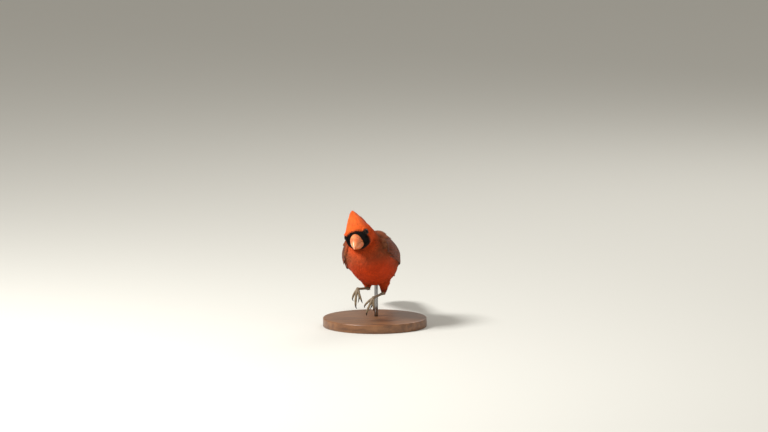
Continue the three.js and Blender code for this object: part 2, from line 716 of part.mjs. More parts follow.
const nostrils = [-1, 1].map((side) => headSolid(nostril(side)));
const upperBill = headSolid(billHalf(UPPER_BILL, BILL_LENGTH, true));
addTo(bird, "bill_upper", largest(cutBy(upperBill, nostrils)), finishes.bill);
addTo(bird, "bill_lower", headSolid(billHalf(LOWER_BILL, LOWER_BILL_LENGTH, false)), finishes.bill);
addTo(bird, "eye_left", headSolid(eyeBall(1)), finishes.eye);
addTo(bird, "eye_right", headSolid(eyeBall(-1)), finishes.eye);

// Legs
for (const name of Object.keys(LEGS)) {
  const leg = legPieces(name);
  const thigh = largest(cutBy(solid(leg.thigh), [trunkClear, solid(leg.boneClear)]));
  addTo(bird, `thigh_${name}`, thigh, finishes.red);
  addTo(bird, `shank_${name}`, solid(leg.bone), finishes.leg);
  const ball = new THREE.SphereGeometry(PALM_RADIUS, 12, 8).translate(...leg.palm);
  const toes = leg.digits.map(({ digit }) => solid(digit));
  const clear = [solid(leg.boneClear), ...leg.digits.map(({ nailClear }) => solid(nailClear))];
  addTo(bird, `foot_${name}`, largest(cutBy(joined([solid(ball), ...toes]), clear)), finishes.leg);
  for (const { toe, nail } of leg.digits) {
    addTo(bird, `claw_${name}_${toe}`, solid(nail), finishes.claw);
  }
}

// Wings and tail
const wingParts = [shoulderPad(), ...wingFeathers()];
for (const [name, shape] of [["left", (g) => g], ["right", mirrored]]) {
  const feathers = joined(wingParts.map((part) => trunkSolid(shape(part))));
  addTo(bird, `wing_${name}`, largest(cutBy(feathers, [trunkClear, neckClear])), finishes.wing);
}
const tail = joined(tailFeathers().map((vane) => trunkSolid(bendTail(vane))));
addTo(bird, "tail", largest(cutBy(tail, [trunkClear])), finishes.tail);

export default model;
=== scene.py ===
"""Museum model of an adult male northern cardinal that leaps with its wings shut, on a round wooden stand.

The functions work in millimetres, from the middle of the bird's trunk in level axes, or in the trunk's or the
head's own axes, and a mesh is turned into metres in the frame when its object is made. The bird faces -Y, its
left side is +X, and its parts have the same named sizes as the solids that they stand for.
"""

import math

import bpy
import numpy as np
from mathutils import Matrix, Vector
from mathutils.bvhtree import BVHTree


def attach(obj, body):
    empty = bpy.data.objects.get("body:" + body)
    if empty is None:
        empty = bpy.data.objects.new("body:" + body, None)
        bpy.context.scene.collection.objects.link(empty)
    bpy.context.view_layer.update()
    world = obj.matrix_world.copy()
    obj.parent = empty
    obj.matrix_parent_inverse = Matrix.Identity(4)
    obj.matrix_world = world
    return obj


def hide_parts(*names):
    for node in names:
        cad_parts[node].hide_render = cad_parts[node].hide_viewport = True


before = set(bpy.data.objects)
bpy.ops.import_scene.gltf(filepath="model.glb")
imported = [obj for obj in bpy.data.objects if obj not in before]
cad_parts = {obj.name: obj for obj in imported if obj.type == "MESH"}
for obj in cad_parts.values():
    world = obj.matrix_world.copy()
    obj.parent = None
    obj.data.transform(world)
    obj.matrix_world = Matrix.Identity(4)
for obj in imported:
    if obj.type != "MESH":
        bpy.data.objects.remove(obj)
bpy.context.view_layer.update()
random = np.random.default_rng(7)

# Sizes of the bird
MM = 0.001
SIDES = {"left": 1, "right": -1}
GAP = 0.3
BIRD_CENTRE = (0, -8, 68)
TRUNK_POSE = {"centre": (0, 0, 0), "turn": 0, "drop": -21, "tilt": 12}
TRUNK_FRONT = -46
TRUNK_SHOULDER = -26
TRUNK_BACK = 66
TRUNK_HALF_WIDTH = 24
TRUNK_HALF_HEIGHT = 22
NECK_FOOT = -15
NECK_TOP = 4
HEAD_POSE = {"centre": (-5.4, -40.6, 30.4), "turn": 0, "drop": 10, "tilt": 20}
HEAD_FRONT = -14.5
HEAD_REAR = 15.5
FOREHEAD_ROUND = 9
EYE_RADIUS = 3.7
EYE_AT = (9.2, -5.6, 2.4)
EYE_WAY = (1, -0.34, 0.1)
BILL_ROOT = HEAD_FRONT + 4.2
BILL_LENGTH = 17.2
LOWER_BILL_LENGTH = 15.2
NOSTRIL_AT = (3.9, -16.1, 2)
CREST_TIP = (-0.6, 13, 23.2)
TAIL_LENGTH = 99
TAIL_PAIRS = 6
TAIL_ROOT = 58
TAIL_HINGE = (0, TAIL_ROOT, 2)
TAIL_BEND = 16
TAIL_LIFT = 12
TARSUS_LENGTH = 25.4
HIP_AT = (10, 4, -13)
THIGH_RADII = (9.2, 5.8, 3.4, 2.2)
TOE_SPREAD = 31
BASE_RADIUS = 52
BASE_THICK = 9
BASE_BEVEL = 1.2
BASE_CHAMFER = 0.6
ROD_RADIUS = 1.9
ROD_AT = (0, 6)
ROD_TOP = 50

# Stations of the trunk: place along it, half width, top, widest level, underside
TRUNK = [
    (-46, 21.6, 20.6, 1, -21.4),
    (-26, 23, 22, 0.5, -23.2),
    (-8, 24.2, 22.4, -0.5, -24.8),
    (10, 23.8, 21.4, -1, -24.4),
    (26, 20, 18.6, 0, -19.2),
    (40, 14.8, 14, 1.2, -12.4),
    (52, 10.4, 10, 2, -6.4),
    (62, 7.8, 7, 2.2, -2.4),
    (68, 6.4, 5.6, 2.2, -1.2),
]
# Stations of the folded wings' surface: place along the trunk, half width, height over the middle, its level
SHELL = [
    (-40, 19, 17, 0),
    (-26, 23.6, 21.8, 0),
    (-8, 25.2, 23.4, -0.5),
    (12, 24.8, 22.6, -0.5),
    (30, 20.6, 19.6, 0.5),
    (46, 15.2, 14.2, 2),
    (60, 11.6, 10.2, 3.2),
    (76, 8.6, 7.6, 3.6),
]
# Stations of the head: place along it, half width, crown, widest level, throat
HEAD = [
    (-15, 9.4, 9.0, -1, -11),
    (-9, 12.2, 11.6, -1.5, -12.6),
    (-2, 14.4, 13.4, -2, -13.8),
    (5, 15, 14, -2, -14),
    (11, 13.8, 13, -2, -13.2),
    (16, 11.2, 10.6, -2, -11.6),
]
# Stations of the bill's halves: distance from the base, ridge, half width, cutting edge
UPPER_BILL = [
    (0, 5.2, 6.1, -5.0),
    (3.5, 4.8, 5.8, -3.4),
    (7, 3.6, 5.0, -2.9),
    (10.5, 1.6, 3.8, -3.2),
    (13.6, -1.1, 2.4, -4.2),
    (15.8, -3.7, 1.1, -5.5),
    (17.2, -5.6, 0.35, -6.2),
]
LOWER_BILL = [
    (0, -10.6, 5.8, -5.3),
    (3.5, -10.4, 5.4, -3.7),
    (7, -9.4, 4.5, -3.2),
    (10.5, -8.0, 3.2, -3.5),
    (13.2, -6.9, 1.8, -4.5),
    (15.2, -6.1, 0.5, -5.5),
]

# How deep the skin lies inside the coat's outline, and how finely it is divided
COAT = 1.5
HEAD_COAT = 0.9
THIGH_COAT = 0.7
SKIN_CELL = 0.8

# Colours, as red, green and blue of a screen from 0 to 255
PALETTE = {
    # The crest is lighter and more orange than the face: partly its own brighter red, partly painted light on
    # the top of the head
    "crest": (228, 98, 36),
    "cheek": (204, 74, 24),
    "nape": (146, 66, 36),
    "mask": (22, 15, 13),
    "breast": (192, 58, 12),
    # The belly is darker than the breast: partly its own duller red, partly painted shade on the underside
    "belly": (172, 60, 18),
    "vent": (160, 60, 36),
    "back": (120, 62, 34),
    "fringe": (126, 94, 64),
    "rump": (150, 52, 32),
    "thigh": (140, 52, 28),
    "wing_edge": (124, 56, 32),
    "wing_dark": (58, 40, 28),
    "tail_edge": (142, 44, 28),
    "tail_dark": (74, 38, 30),
}


def linear(colour):
    """A screen colour as the renderer's linear one."""
    share = np.array(colour, float) / 255
    return np.where(share <= 0.04045, share / 12.92, ((share + 0.055) / 1.055) ** 2.4)


COLOUR = {name: linear(colour) for name, colour in PALETTE.items()}


# Curves, places and meshes


def along(stations, column, at):
    """One column of a table of stations at places between its rows, on a smooth curve through them."""
    table = np.array(stations, float)
    x, v = table[:, 0], table[:, column]
    slope = np.empty(len(x))
    slope[1:-1] = (v[2:] - v[:-2]) / (x[2:] - x[:-2])
    slope[0] = (v[1] - v[0]) / (x[1] - x[0])
    slope[-1] = (v[-1] - v[-2]) / (x[-1] - x[-2])
    at = np.asarray(at, float)
    i = np.clip(np.searchsorted(x, at, side="right") - 1, 0, len(x) - 2)
    span = x[i + 1] - x[i]
    t = np.clip((at - x[i]) / span, 0, 1)
    t2, t3 = t * t, t * t * t
    return (
        (2 * t3 - 3 * t2 + 1) * v[i]
        + (t3 - 2 * t2 + t) * slope[i] * span
        + (3 * t2 - 2 * t3) * v[i + 1]
        + (t3 - t2) * slope[i + 1] * span
    )


def smoothstep(x, low, high):
    """0 up to low, 1 from high on, and a smooth rise between them."""
    t = np.clip((np.asarray(x, float) - low) / (high - low), 0, 1)
    return t * t * (3 - 2 * t)


def unit(vectors):
    """Vectors at a length of 1."""
    vectors = np.asarray(vectors, float)
    return vectors / np.maximum(np.linalg.norm(vectors, axis=-1, keepdims=True), 1e-9)


def turn_matrix(axis, degrees):
    """The matrix of a turn about an axis."""
    a = math.radians(degrees)
    x, y, z = unit(axis)
    c, s, k = math.cos(a), math.sin(a), 1 - math.cos(a)
    return np.array([
        [c + x * x * k, x * y * k - z * s, x * z * k + y * s],
        [y * x * k + z * s, c + y * y * k, y * z * k - x * s],
        [z * x * k - y * s, z * y * k + x * s, c + z * z * k],
    ])


def circle(steps):
    """Angles evenly round a circle, in radians."""
    return 2 * math.pi * np.arange(steps) / steps


def mirrored(place, side):
    """A place given for the left side, on the side 1 for left or -1 for right."""
    return np.array(place, float) * (side, 1, 1)


class Pose:
    """A place and a turn: about the vertical, then down, then about the part's own long axis."""

    def __init__(self, centre, turn, drop, tilt):
        self.centre = np.array(centre, float)
        self.turn = (
            turn_matrix((0, 0, 1), turn)
            @ turn_matrix((1, 0, 0), drop)
            @ turn_matrix((0, 1, 0), -tilt)
        )

    def out(self, points):
        return np.asarray(points, float) @ self.turn.T + self.centre

    def back(self, points):
        return (np.asarray(points, float) - self.centre) @ self.turn

    def way(self, vectors):
        return np.asarray(vectors, float) @ self.turn.T


trunk_pose = Pose(**TRUNK_POSE)
head_pose = Pose(**HEAD_POSE)


def grid_faces(rows, columns, closed=False, start=0):
    """Quads over rows by columns of points. closed joins the last column to the first."""
    i, j = np.meshgrid(np.arange(rows - 1), np.arange(columns if closed else columns - 1), indexing="ij")
    i, j = i.ravel(), j.ravel()
    k = (j + 1) % columns
    a, b = i * columns + j, i * columns + k
    return np.stack([a, b, b + columns, a + columns], 1) + start


def grid_faces_round(rows, columns):
    """Quads over rows by columns of points that close on themselves both ways."""
    i, j = np.meshgrid(np.arange(rows), np.arange(columns), indexing="ij")
    i, j = i.ravel(), j.ravel()
    k, m = (i + 1) % rows, (j + 1) % columns
    return np.stack([i * columns + j, i * columns + m, k * columns + m, k * columns + j], 1)


def loft(rings):
    """Points and faces of a closed body through rings of points, fanned at both ends."""
    rings = np.array(rings, float)
    count, sides = rings.shape[:2]
    points = np.concatenate([rings.reshape(-1, 3), rings[:1].mean(1), rings[-1:].mean(1)])
    faces = [list(f) for f in grid_faces(count, sides, closed=True)]
    first, last = count * sides, count * sides + 1
    for i in range(sides):
        j = (i + 1) % sides
        faces.append([first, j, i])
        faces.append([last, (count - 1) * sides + i, (count - 1) * sides + j])
    return points, faces


def merged(parts):
    """Several (points, faces) as one."""
    points, faces, start = [], [], 0
    for some_points, some_faces in parts:
        points.append(np.asarray(some_points, float))
        faces.extend([[int(v) + start for v in face] for face in some_faces])
        start += len(some_points)
    return np.concatenate(points), faces


def in_frame(points):
    """Places in metres of the shared frame, from millimetres off the middle of the bird's trunk."""
    return (np.asarray(points, float) + BIRD_CENTRE) * MM


def new_object(name, points, faces, material=None, smooth=True, placed=in_frame):
    """A mesh object from points in millimetres."""
    mesh = bpy.data.meshes.new(name)
    mesh.from_pydata(placed(points).tolist(), [], [list(map(int, f)) for f in faces])
    mesh.validate()
    if smooth:
        mesh.shade_smooth()
    made = bpy.data.objects.new(name, mesh)
    bpy.context.scene.collection.objects.link(made)
    if material:
        mesh.materials.append(material)
    return made


def quad_object(name, points, quads, material):
    """A mesh object of many quads, made fast from arrays."""
    mesh = bpy.data.meshes.new(name)
    mesh.vertices.add(len(points))
    mesh.vertices.foreach_set("co", in_frame(points).astype(np.float32).ravel())
    mesh.loops.add(quads.size)
    mesh.loops.foreach_set("vertex_index", quads.astype(np.int32).ravel())
    mesh.polygons.add(len(quads))
    mesh.polygons.foreach_set("loop_start", np.arange(0, quads.size, 4, dtype=np.int32))
    mesh.polygons.foreach_set("loop_total", np.full(len(quads), 4, np.int32))
    mesh.update(calc_edges=True)
    mesh.shade_smooth()
    mesh.materials.append(material)
    made = bpy.data.objects.new(name, mesh)
    bpy.context.scene.collection.objects.link(made)
    return made


def places_of(mesh):
    """A mesh's points, in millimetres from the middle of the bird's trunk."""
    places = np.empty(len(mesh.vertices) * 3, np.float32)
    mesh.vertices.foreach_get("co", places)
    return places.reshape(-1, 3).astype(float) / MM - BIRD_CENTRE


def corners_of(mesh):
    """The point that each corner of a mesh's faces is at."""
    corner = np.empty(len(mesh.loops), np.int32)
    mesh.loops.foreach_get("vertex_index", corner)
    return corner


def set_points_attribute(made, name, values):
    """A vector or colour for each point of an object's mesh."""
    values = np.asarray(values, np.float32)
    kind, key = {3: ("FLOAT_VECTOR", "vector"), 4: ("FLOAT_COLOR", "color")}[values.shape[1]]
    attribute = made.data.attributes.new(name, kind, "POINT")
    attribute.data.foreach_set(key, values.ravel())


def set_uv(made, uv_of_points):
    """The bake map, from a place for each point."""
    layer = made.data.uv_layers.new(name="OFBake")
    layer.data.foreach_set("uv", np.asarray(uv_of_points, np.float32)[corners_of(made.data)].ravel())


def with_alpha(colours):
    return np.concatenate([colours, np.ones((len(colours), 1))], 1)


# Forms of the body


def oval_ring(y, half_width, top, middle, bottom, sides):
    """A ring across Y whose upper and lower halves are parts of two ovals."""
    angle = circle(sides)
    height = np.where(np.cos(angle) > 0, top - middle, middle - bottom)
    return np.stack([half_width * np.sin(angle), np.full(sides, y), middle + height * np.cos(angle)], 1)


def oval_body(stations, start, end, round_front, round_back, sides, steps, grow):
    """A body along Y from a table of ovals, rounded off at its ends and grown all over."""
    rings = []
    for k in range(steps + 1):
        share = 0.5 - 0.5 * math.cos(math.pi * min(max(k, 0.35), steps - 0.35) / steps)
        y = start + (end - start) * share
        front = min(max((start + round_front - y) / round_front, 0), 1)
        back = min(max((y - end + round_back) / round_back, 0), 1)
        shrink = math.sqrt(1 - max(front, back) ** 2)
        width, top, middle, bottom = (float(along(stations, c, y)) for c in (1, 2, 3, 4))
        up, down = (top - middle) * shrink + grow, (middle - bottom) * shrink + grow
        at = y + grow * (2 * share - 1)
        rings.append(oval_ring(at, max(width * shrink + grow, 0.2), middle + max(up, 0.2), middle,
                               middle - max(down, 0.2), sides))
    return loft(rings)


# How far the neck runs on along the trunk and along the head before it bends
NECK_FOOT_PULL = 12
NECK_TOP_PULL = 9


def neck_body(grow):
    """The neck, from just inside the shoulders to just inside the back of the head."""

    def section(stations, y, side, top_share, bottom_share, pose):
        width, top, middle, bottom = (float(along(stations, c, y)) for c in (1, 2, 3, 4))
        up, down = (top - middle) * top_share, (middle - bottom) * bottom_share
        top, bottom = middle + up + grow, middle - down - grow
        return pose.out(oval_ring(y, width * side + grow, top, middle, bottom, 40))

    start = section(TRUNK, NECK_FOOT, 0.9, 0.95, 0.85, trunk_pose)
    end = section(HEAD, NECK_TOP, 0.95, 0.93, 0.9, head_pose)
    near = start + NECK_FOOT_PULL * trunk_pose.way((0, -1, 0))
    far = end + NECK_TOP_PULL * head_pose.way((0, 1, 0))
    shares = np.linspace(0, 1, 12)[:, None, None]
    rings = (
        (1 - shares) ** 3 * start
        + 3 * (1 - shares) ** 2 * shares * near
        + 3 * (1 - shares) * shares**2 * far
        + shares**3 * end
    )
    return loft(rings)


# Stations of the crest's dense roots: height, front, back, half width
CREST_CORE = [(6, -12, 14.5, 10), (12.5, -7, 14.5, 7.6), (16.5, 0, 14, 4.2), (19, 7, 13.2, 1.6)]


def crest_core(grow):
    """The dense roots of the crest."""
    angle = circle(24)
    rings = []
    for z, front, back, half in CREST_CORE:
        half, reach = half + grow, (back - front) / 2 + grow
        rings.append(np.stack([half * np.sin(angle), (front + back) / 2 + reach * np.cos(angle),
                               np.full(24, z + grow)], 1))
    points, faces = loft(rings)
    return head_pose.out(points), faces


# A way that no limb runs along, to set the first side of a round piece
ASKEW = (0.31, 0.17, 0.93)


def tapered(points, radii, sides):
    """A round tapering piece along points."""
    points = np.array(points, float)
    angle = circle(sides)[:, None]
    rings = []
    for k in range(len(points)):
        way = unit(points[min(k + 1, len(points) - 1)] - points[max(k - 1, 0)])
        side = unit(np.cross(ASKEW, way))
        up = np.cross(way, side)
        rings.append(points[k] + radii[k] * (np.cos(angle) * side + np.sin(angle) * up))
    return loft(rings)


# Legs: the heel's place, the way from there to the foot and the way of the middle toe
LEGS = {
    "left": {"heel": (10.8, 0.3, -33), "shank": (-3.9, -25.1, -0.7), "toes": (-0.37, -0.63, -0.68)},
    "right": {"heel": (-4.6, -1, -28.5), "shank": (-4.4, -24.8, 3.2), "toes": (-0.16, -0.7, -0.69)},
}
# Toes: place round the foot, length without the claw, claw length, radius at the root
TOES = {
    "inner": (-1, 10.5, 5.6, 1.15),
    "middle": (0, 16.5, 6.2, 1.3),
    "outer": (1, 11.8, 5.6, 1.15),
    "hind": (0, 9.2, 7.2, 1.25),
}


def thigh_line(name):
    """A thigh's middle line, from the hip to the heel."""
    heel, hip = np.array(LEGS[name]["heel"], float), mirrored(HIP_AT, SIDES[name])
    bend = heel + (hip - heel) * 0.45 + (0, 2.5, 0)
    return [hip, bend, heel + (bend - heel) * 0.25, heel]


def bend_tail(points):
    """Tail places from along the trunk to where the tail is bent to the side and lifted."""
    hinge = np.array(TAIL_HINGE, float)
    turn = turn_matrix((0, 0, 1), TAIL_BEND) @ turn_matrix((1, 0, 0), TAIL_LIFT)
    return (np.asarray(points, float) - hinge) @ turn.T + hinge


# Inside of the tail's base: place along the tail, half width, half thickness
TAIL_WEDGE = [(-10, 6.4, 4.4), (0, 6.2, 3.6), (10, 6.6, 2.2), (20, 6.4, 1.0), (24, 5.0, 0.5)]
TAIL_LEVEL = 2.2


def tail_root():
    """A thin wedge inside the tail's base, so that the coat runs on to the tail."""
    angle = circle(24)
    rings = []
    for far, half, thick in TAIL_WEDGE:
        rings.append(np.stack([half * np.sin(angle), np.full(24, TAIL_ROOT + far),
                               TAIL_LEVEL + thick * np.cos(angle)], 1))
    points, faces = loft(rings)
    return trunk_pose.out(bend_tail(points)), faces


def shell_point(y, angle, out):
    """A point of the folded wings' surface or so far outside it, at an angle in degrees from straight up."""
    wide, high, level = (along(SHELL, c, y) for c in (1, 2, 3))
    turn = np.radians(angle)
    across, height = (wide + out) * np.sin(turn), level + (high + out) * np.cos(turn)
    return np.stack(np.broadcast_arrays(across, y, height), -1)


ARM_FRONT = -36
ARM_LENGTH = 38
ARM_CROWN = 1.5
ARM_SUNK = 0.9
ARM_DEPTH = 5.0


def arm(side):
    """The flesh of the folded arm, under the wing's coverts."""
    rings = []
    for share in np.linspace(0, 1, 24):
        y = ARM_FRONT + ARM_LENGTH * share
        full = math.sqrt(max(0.04, 1 - (2 * share - 1) ** 2))
        upper, lower = 66 - 32 * full, 74 + 30 * full
        over = np.linspace(0, 1, 17)
        bulge = ARM_CROWN * np.sin(np.pi * over) * full - ARM_SUNK
        top = shell_point(y, upper + (lower - upper) * over, bulge)
        beneath = shell_point(y, upper + (lower - upper) * over[::-1][4:-4], -ARM_DEPTH * full)
        rings.append(mirrored(np.concatenate([top, beneath]), side))
    points, faces = loft(rings)
    return trunk_pose.out(points), faces


def eye_way(side):
    """The way that an eye looks, in the head's axes."""
    return unit(mirrored(EYE_WAY, side))


def eye_frame(side):
    """The eye's middle, the way it looks, and the ways up and forward round it, in the head's axes."""
    out = eye_way(side)
    up = unit(np.array((0, 0, 1)) - out * out[2])
    return mirrored(EYE_AT, side), out, up, np.cross(up, out)


# The socket's rim: its radius round the eye, its own thickness and how far out it lies
SOCKET_RADIUS = 3.7
SOCKET_THICK = 1.1
SOCKET_OUT = 1.5


def eye_mound(side):
    """The raised rim of the socket, which the small feathers round the eye lie on."""
    centre, out, up, ahead = eye_frame(side)
    turn = circle(12)[:, None]
    rings = []
    for around in circle(40):
        spoke = math.cos(around) * ahead + math.sin(around) * up
        middle = centre + out * SOCKET_OUT + spoke * SOCKET_RADIUS
        rings.append(middle + SOCKET_THICK * (spoke * np.cos(turn) + out * np.sin(turn)))
    return head_pose.out(np.array(rings).reshape(-1, 3)), grid_faces_round(40, 12)


def make_skin():
    """One skin for the head, neck, trunk and thighs, a little inside the coat's outline."""
    trunk = oval_body(TRUNK, TRUNK_FRONT, TRUNK_BACK, round_front=TRUNK_SHOULDER - TRUNK_FRONT,
                      round_back=6, sides=56, steps=40, grow=-COAT)
    head = oval_body(HEAD, HEAD_FRONT, HEAD_REAR, round_front=FOREHEAD_ROUND, round_back=10, sides=48,
                     steps=28, grow=-HEAD_COAT)
    parts = [
        (trunk_pose.out(trunk[0]), trunk[1]),
        (head_pose.out(head[0]), head[1]),
        neck_body(-COAT),
        crest_core(-HEAD_COAT),
        tail_root(),
        eye_mound(-1),
        eye_mound(1),
        arm(-1),
        arm(1),
    ]
    for name in LEGS:
        parts.append(tapered(thigh_line(name), [r - THIGH_COAT for r in THIGH_RADII], 20))
    rough = new_object("rough_skin", *merged(parts))
    remesh = rough.modifiers.new("remesh", "REMESH")
    remesh.mode, remesh.voxel_size = "VOXEL", SKIN_CELL * MM
    relax = rough.modifiers.new("relax", "SMOOTH")
    relax.factor, relax.iterations = 0.5, 6
    evaluated = rough.evaluated_get(bpy.context.evaluated_depsgraph_get())
    mesh = bpy.data.meshes.new_from_object(evaluated)
    bpy.data.objects.remove(rough)
    mesh.name = "skin"
    mesh.shade_smooth()
    skin = bpy.data.objects.new("skin", mesh)
    bpy.context.scene.collection.objects.link(skin)
    return skin


# Markings


def distance_to_line(points, start, end):
    """Distances from points to the stretch between two places."""
    start, end = np.array(start, float), np.array(end, float)
    way = end - start
    t = np.clip(((points - start) @ way) / (way @ way), 0, 1)
    return np.linalg.norm(points - start - t[:, None] * way, axis=1)


# The black mask: an oval round the bill, and a band from the bill to each eye
MASK_LEVEL = -2.6
MASK_HALF_WIDTH = 11.6
MASK_ABOVE = 9.8
MASK_BELOW = 11.6
LORES = ((6, -13, 1.2), (11.6, -8.8, 3))
LORES_HALF_WIDTH = (2.4, 3.3)


def mask_share(head_points):
    """1 in the black mask round the bill, 0 outside it."""
    x, y, z = np.abs(head_points[:, 0]), head_points[:, 1], head_points[:, 2]
    tall = np.where(z > MASK_LEVEL, MASK_ABOVE, MASK_BELOW)
    round_bill = 1 - np.sqrt((x / MASK_HALF_WIDTH) ** 2 + ((z - MASK_LEVEL) / tall) ** 2)
    front = smoothstep(-y, 2.2, 4.4)
    patch = smoothstep(round_bill, -0.04, 0.05) * front
    lores = distance_to_line(np.stack([x, y, z], 1), *LORES)
    return np.maximum(patch, 1 - smoothstep(lores, *LORES_HALF_WIDTH))


# Distances from the head's middle where its plumage ends, and from a thigh's line where the thigh's does
HEAD_REACH = (14, 24)
THIGH_REACH = (4.6, 7.4)


def head_share(points):
    """1 on the head, 0 on the trunk, by the distance from the head's middle."""
    return 1 - smoothstep(np.linalg.norm(points - head_pose.centre, axis=1), *HEAD_REACH)


def near_thigh(points, name):
    """1 on one thigh, 0 away from it."""
    line = thigh_line(name)
    return 1 - smoothstep(distance_to_line(points, line[1], line[3]), *THIGH_REACH)


def thigh_share(points):
    """1 on the thighs below the belly, 0 elsewhere."""
    share = np.zeros(len(points))
    for name in LEGS:
        share = np.maximum(share, near_thigh(points, name))
    return share * (1 - smoothstep(points[:, 2], -27, -23))


def mix(a, b, share):
    """Rows of numbers between a's and b's, by a share for each row."""
    share = np.asarray(share)[:, None]
    return a * (1 - share) + b * share


# Where each marking begins and is full: the first three along the trunk, the back's as shares of the trunk's
# half height, the nape's along the head and the crown's over its height
# The belly's darker red is partly its own duller colour, partly painted shade on the underside
BELLY_AND_PAINTED_SHADE = (-20, 20)
VENT = (34, 56)
RUMP = (24, 42)
# The back's brown reaches far down the sides: partly the back's own duller colour, partly painted shade on
# the sides
BACK_AND_PAINTED_SIDE_SHADE = (-0.75, 0.3)
NAPE = (2, 14)
# The crown's lighter crest colour is partly its own red, partly painted light on the top of the head
CROWN_AND_PAINTED_LIGHT = (4, 10)
# Where the pale fringes of the back's feathers end, and how pale they are
FRINGE_END = (20, 44)
FRINGE_MOST = 0.5


def plumage(points):
    """The colour of the skin and of a feather's outer end at places on the body, and its fringe's share."""
    on_head = head_pose.back(points)
    on_trunk = trunk_pose.back(points)
    head = head_share(points)
    # Brown of the back runs down over the sides: partly the back's own colour, partly painted shade
    back = smoothstep(on_trunk[:, 2] / TRUNK_HALF_HEIGHT, *BACK_AND_PAINTED_SIDE_SHADE)
    # Darker red towards the belly: partly its own duller colour, partly painted shade on the underside
    colour = mix(COLOUR["breast"], COLOUR["belly"], smoothstep(on_trunk[:, 1], *BELLY_AND_PAINTED_SHADE))
    colour = mix(colour, COLOUR["vent"], smoothstep(on_trunk[:, 1], *VENT))
    saddle = np.broadcast_to(COLOUR["back"], colour.shape)
    saddle = mix(saddle, COLOUR["rump"], smoothstep(on_trunk[:, 1], *RUMP))
    colour = mix(colour, saddle, back)
    colour = mix(colour, COLOUR["thigh"], thigh_share(points))
    nape = smoothstep(on_head[:, 1], *NAPE)
    # The top of the head takes the lighter crest colour: partly its own red, partly painted light from above
    crown = smoothstep(on_head[:, 2] - 0.25 * on_head[:, 1], *CROWN_AND_PAINTED_LIGHT)
    face = mix(np.broadcast_to(COLOUR["cheek"], colour.shape), COLOUR["crest"], crown)
    face = mix(face, COLOUR["nape"], nape * (1 - 0.5 * crown))
    colour = mix(colour, face, head)
    colour = mix(colour, COLOUR["mask"], mask_share(on_head) * (head > 0.02))
    fringe = back * (1 - head) * (1 - smoothstep(on_trunk[:, 1], *FRINGE_END)) * FRINGE_MOST
    return colour, fringe


# Strips of the bake map for the head and the trunk: lowest place, height, first place along the part, length
HEAD_STRIP = (0.72, 0.25, -18, 40)
TRUNK_STRIP = (0.03, 0.64, -50, 145)


def in_strip(places, lowest, height, first, length):
    """Heights on the bake map of places along a part."""
    return lowest + height * (places - first) / length


def body_uv(points):
    """Places on an unwrap of the skin: round it by its own axis, with the head above the trunk."""
    on_head, on_trunk = head_pose.back(points), trunk_pose.back(points)
    head = head_share(points) > 0.5
    round_head = np.arctan2(on_head[:, 0], on_head[:, 2] + 1)
    round_trunk = np.arctan2(on_trunk[:, 0], on_trunk[:, 2])
    u = np.where(head, round_head, round_trunk) / (2 * math.pi) + 0.5
    v = np.where(head, in_strip(on_head[:, 1], *HEAD_STRIP), in_strip(on_trunk[:, 1], *TRUNK_STRIP))
    return np.stack([0.01 + 0.98 * u, np.clip(v, 0.005, 0.995)], 1)


# How dark the skin is beside the feathers over it
SKIN_SHADE = 0.75


def dress_skin(skin, material):
    """The skin's markings and bake map."""
    points = places_of(skin.data)
    colour, _ = plumage(points)
    set_points_attribute(skin, "tint", with_alpha(colour * SKIN_SHADE))
    set_points_attribute(skin, "vane", np.zeros_like(points))
    skin.data.materials.append(material)
    layer = skin.data.uv_layers.new(name="OFBake")
    corner = corners_of(skin.data)
    uv = body_uv(points)[corner]
    starts = np.array([p.loop_start for p in skin.data.polygons])
    low = np.minimum.reduceat(uv[:, 0], starts)
    high = np.maximum.reduceat(uv[:, 0], starts)
    sizes = np.diff(np.append(starts, len(corner)))
    wraps = np.repeat(high - low > 0.5, sizes)
    uv[wraps, 0] = np.repeat(high, sizes)[wraps]
    layer.data.foreach_set("uv", uv.astype(np.float32).ravel())


# The coat


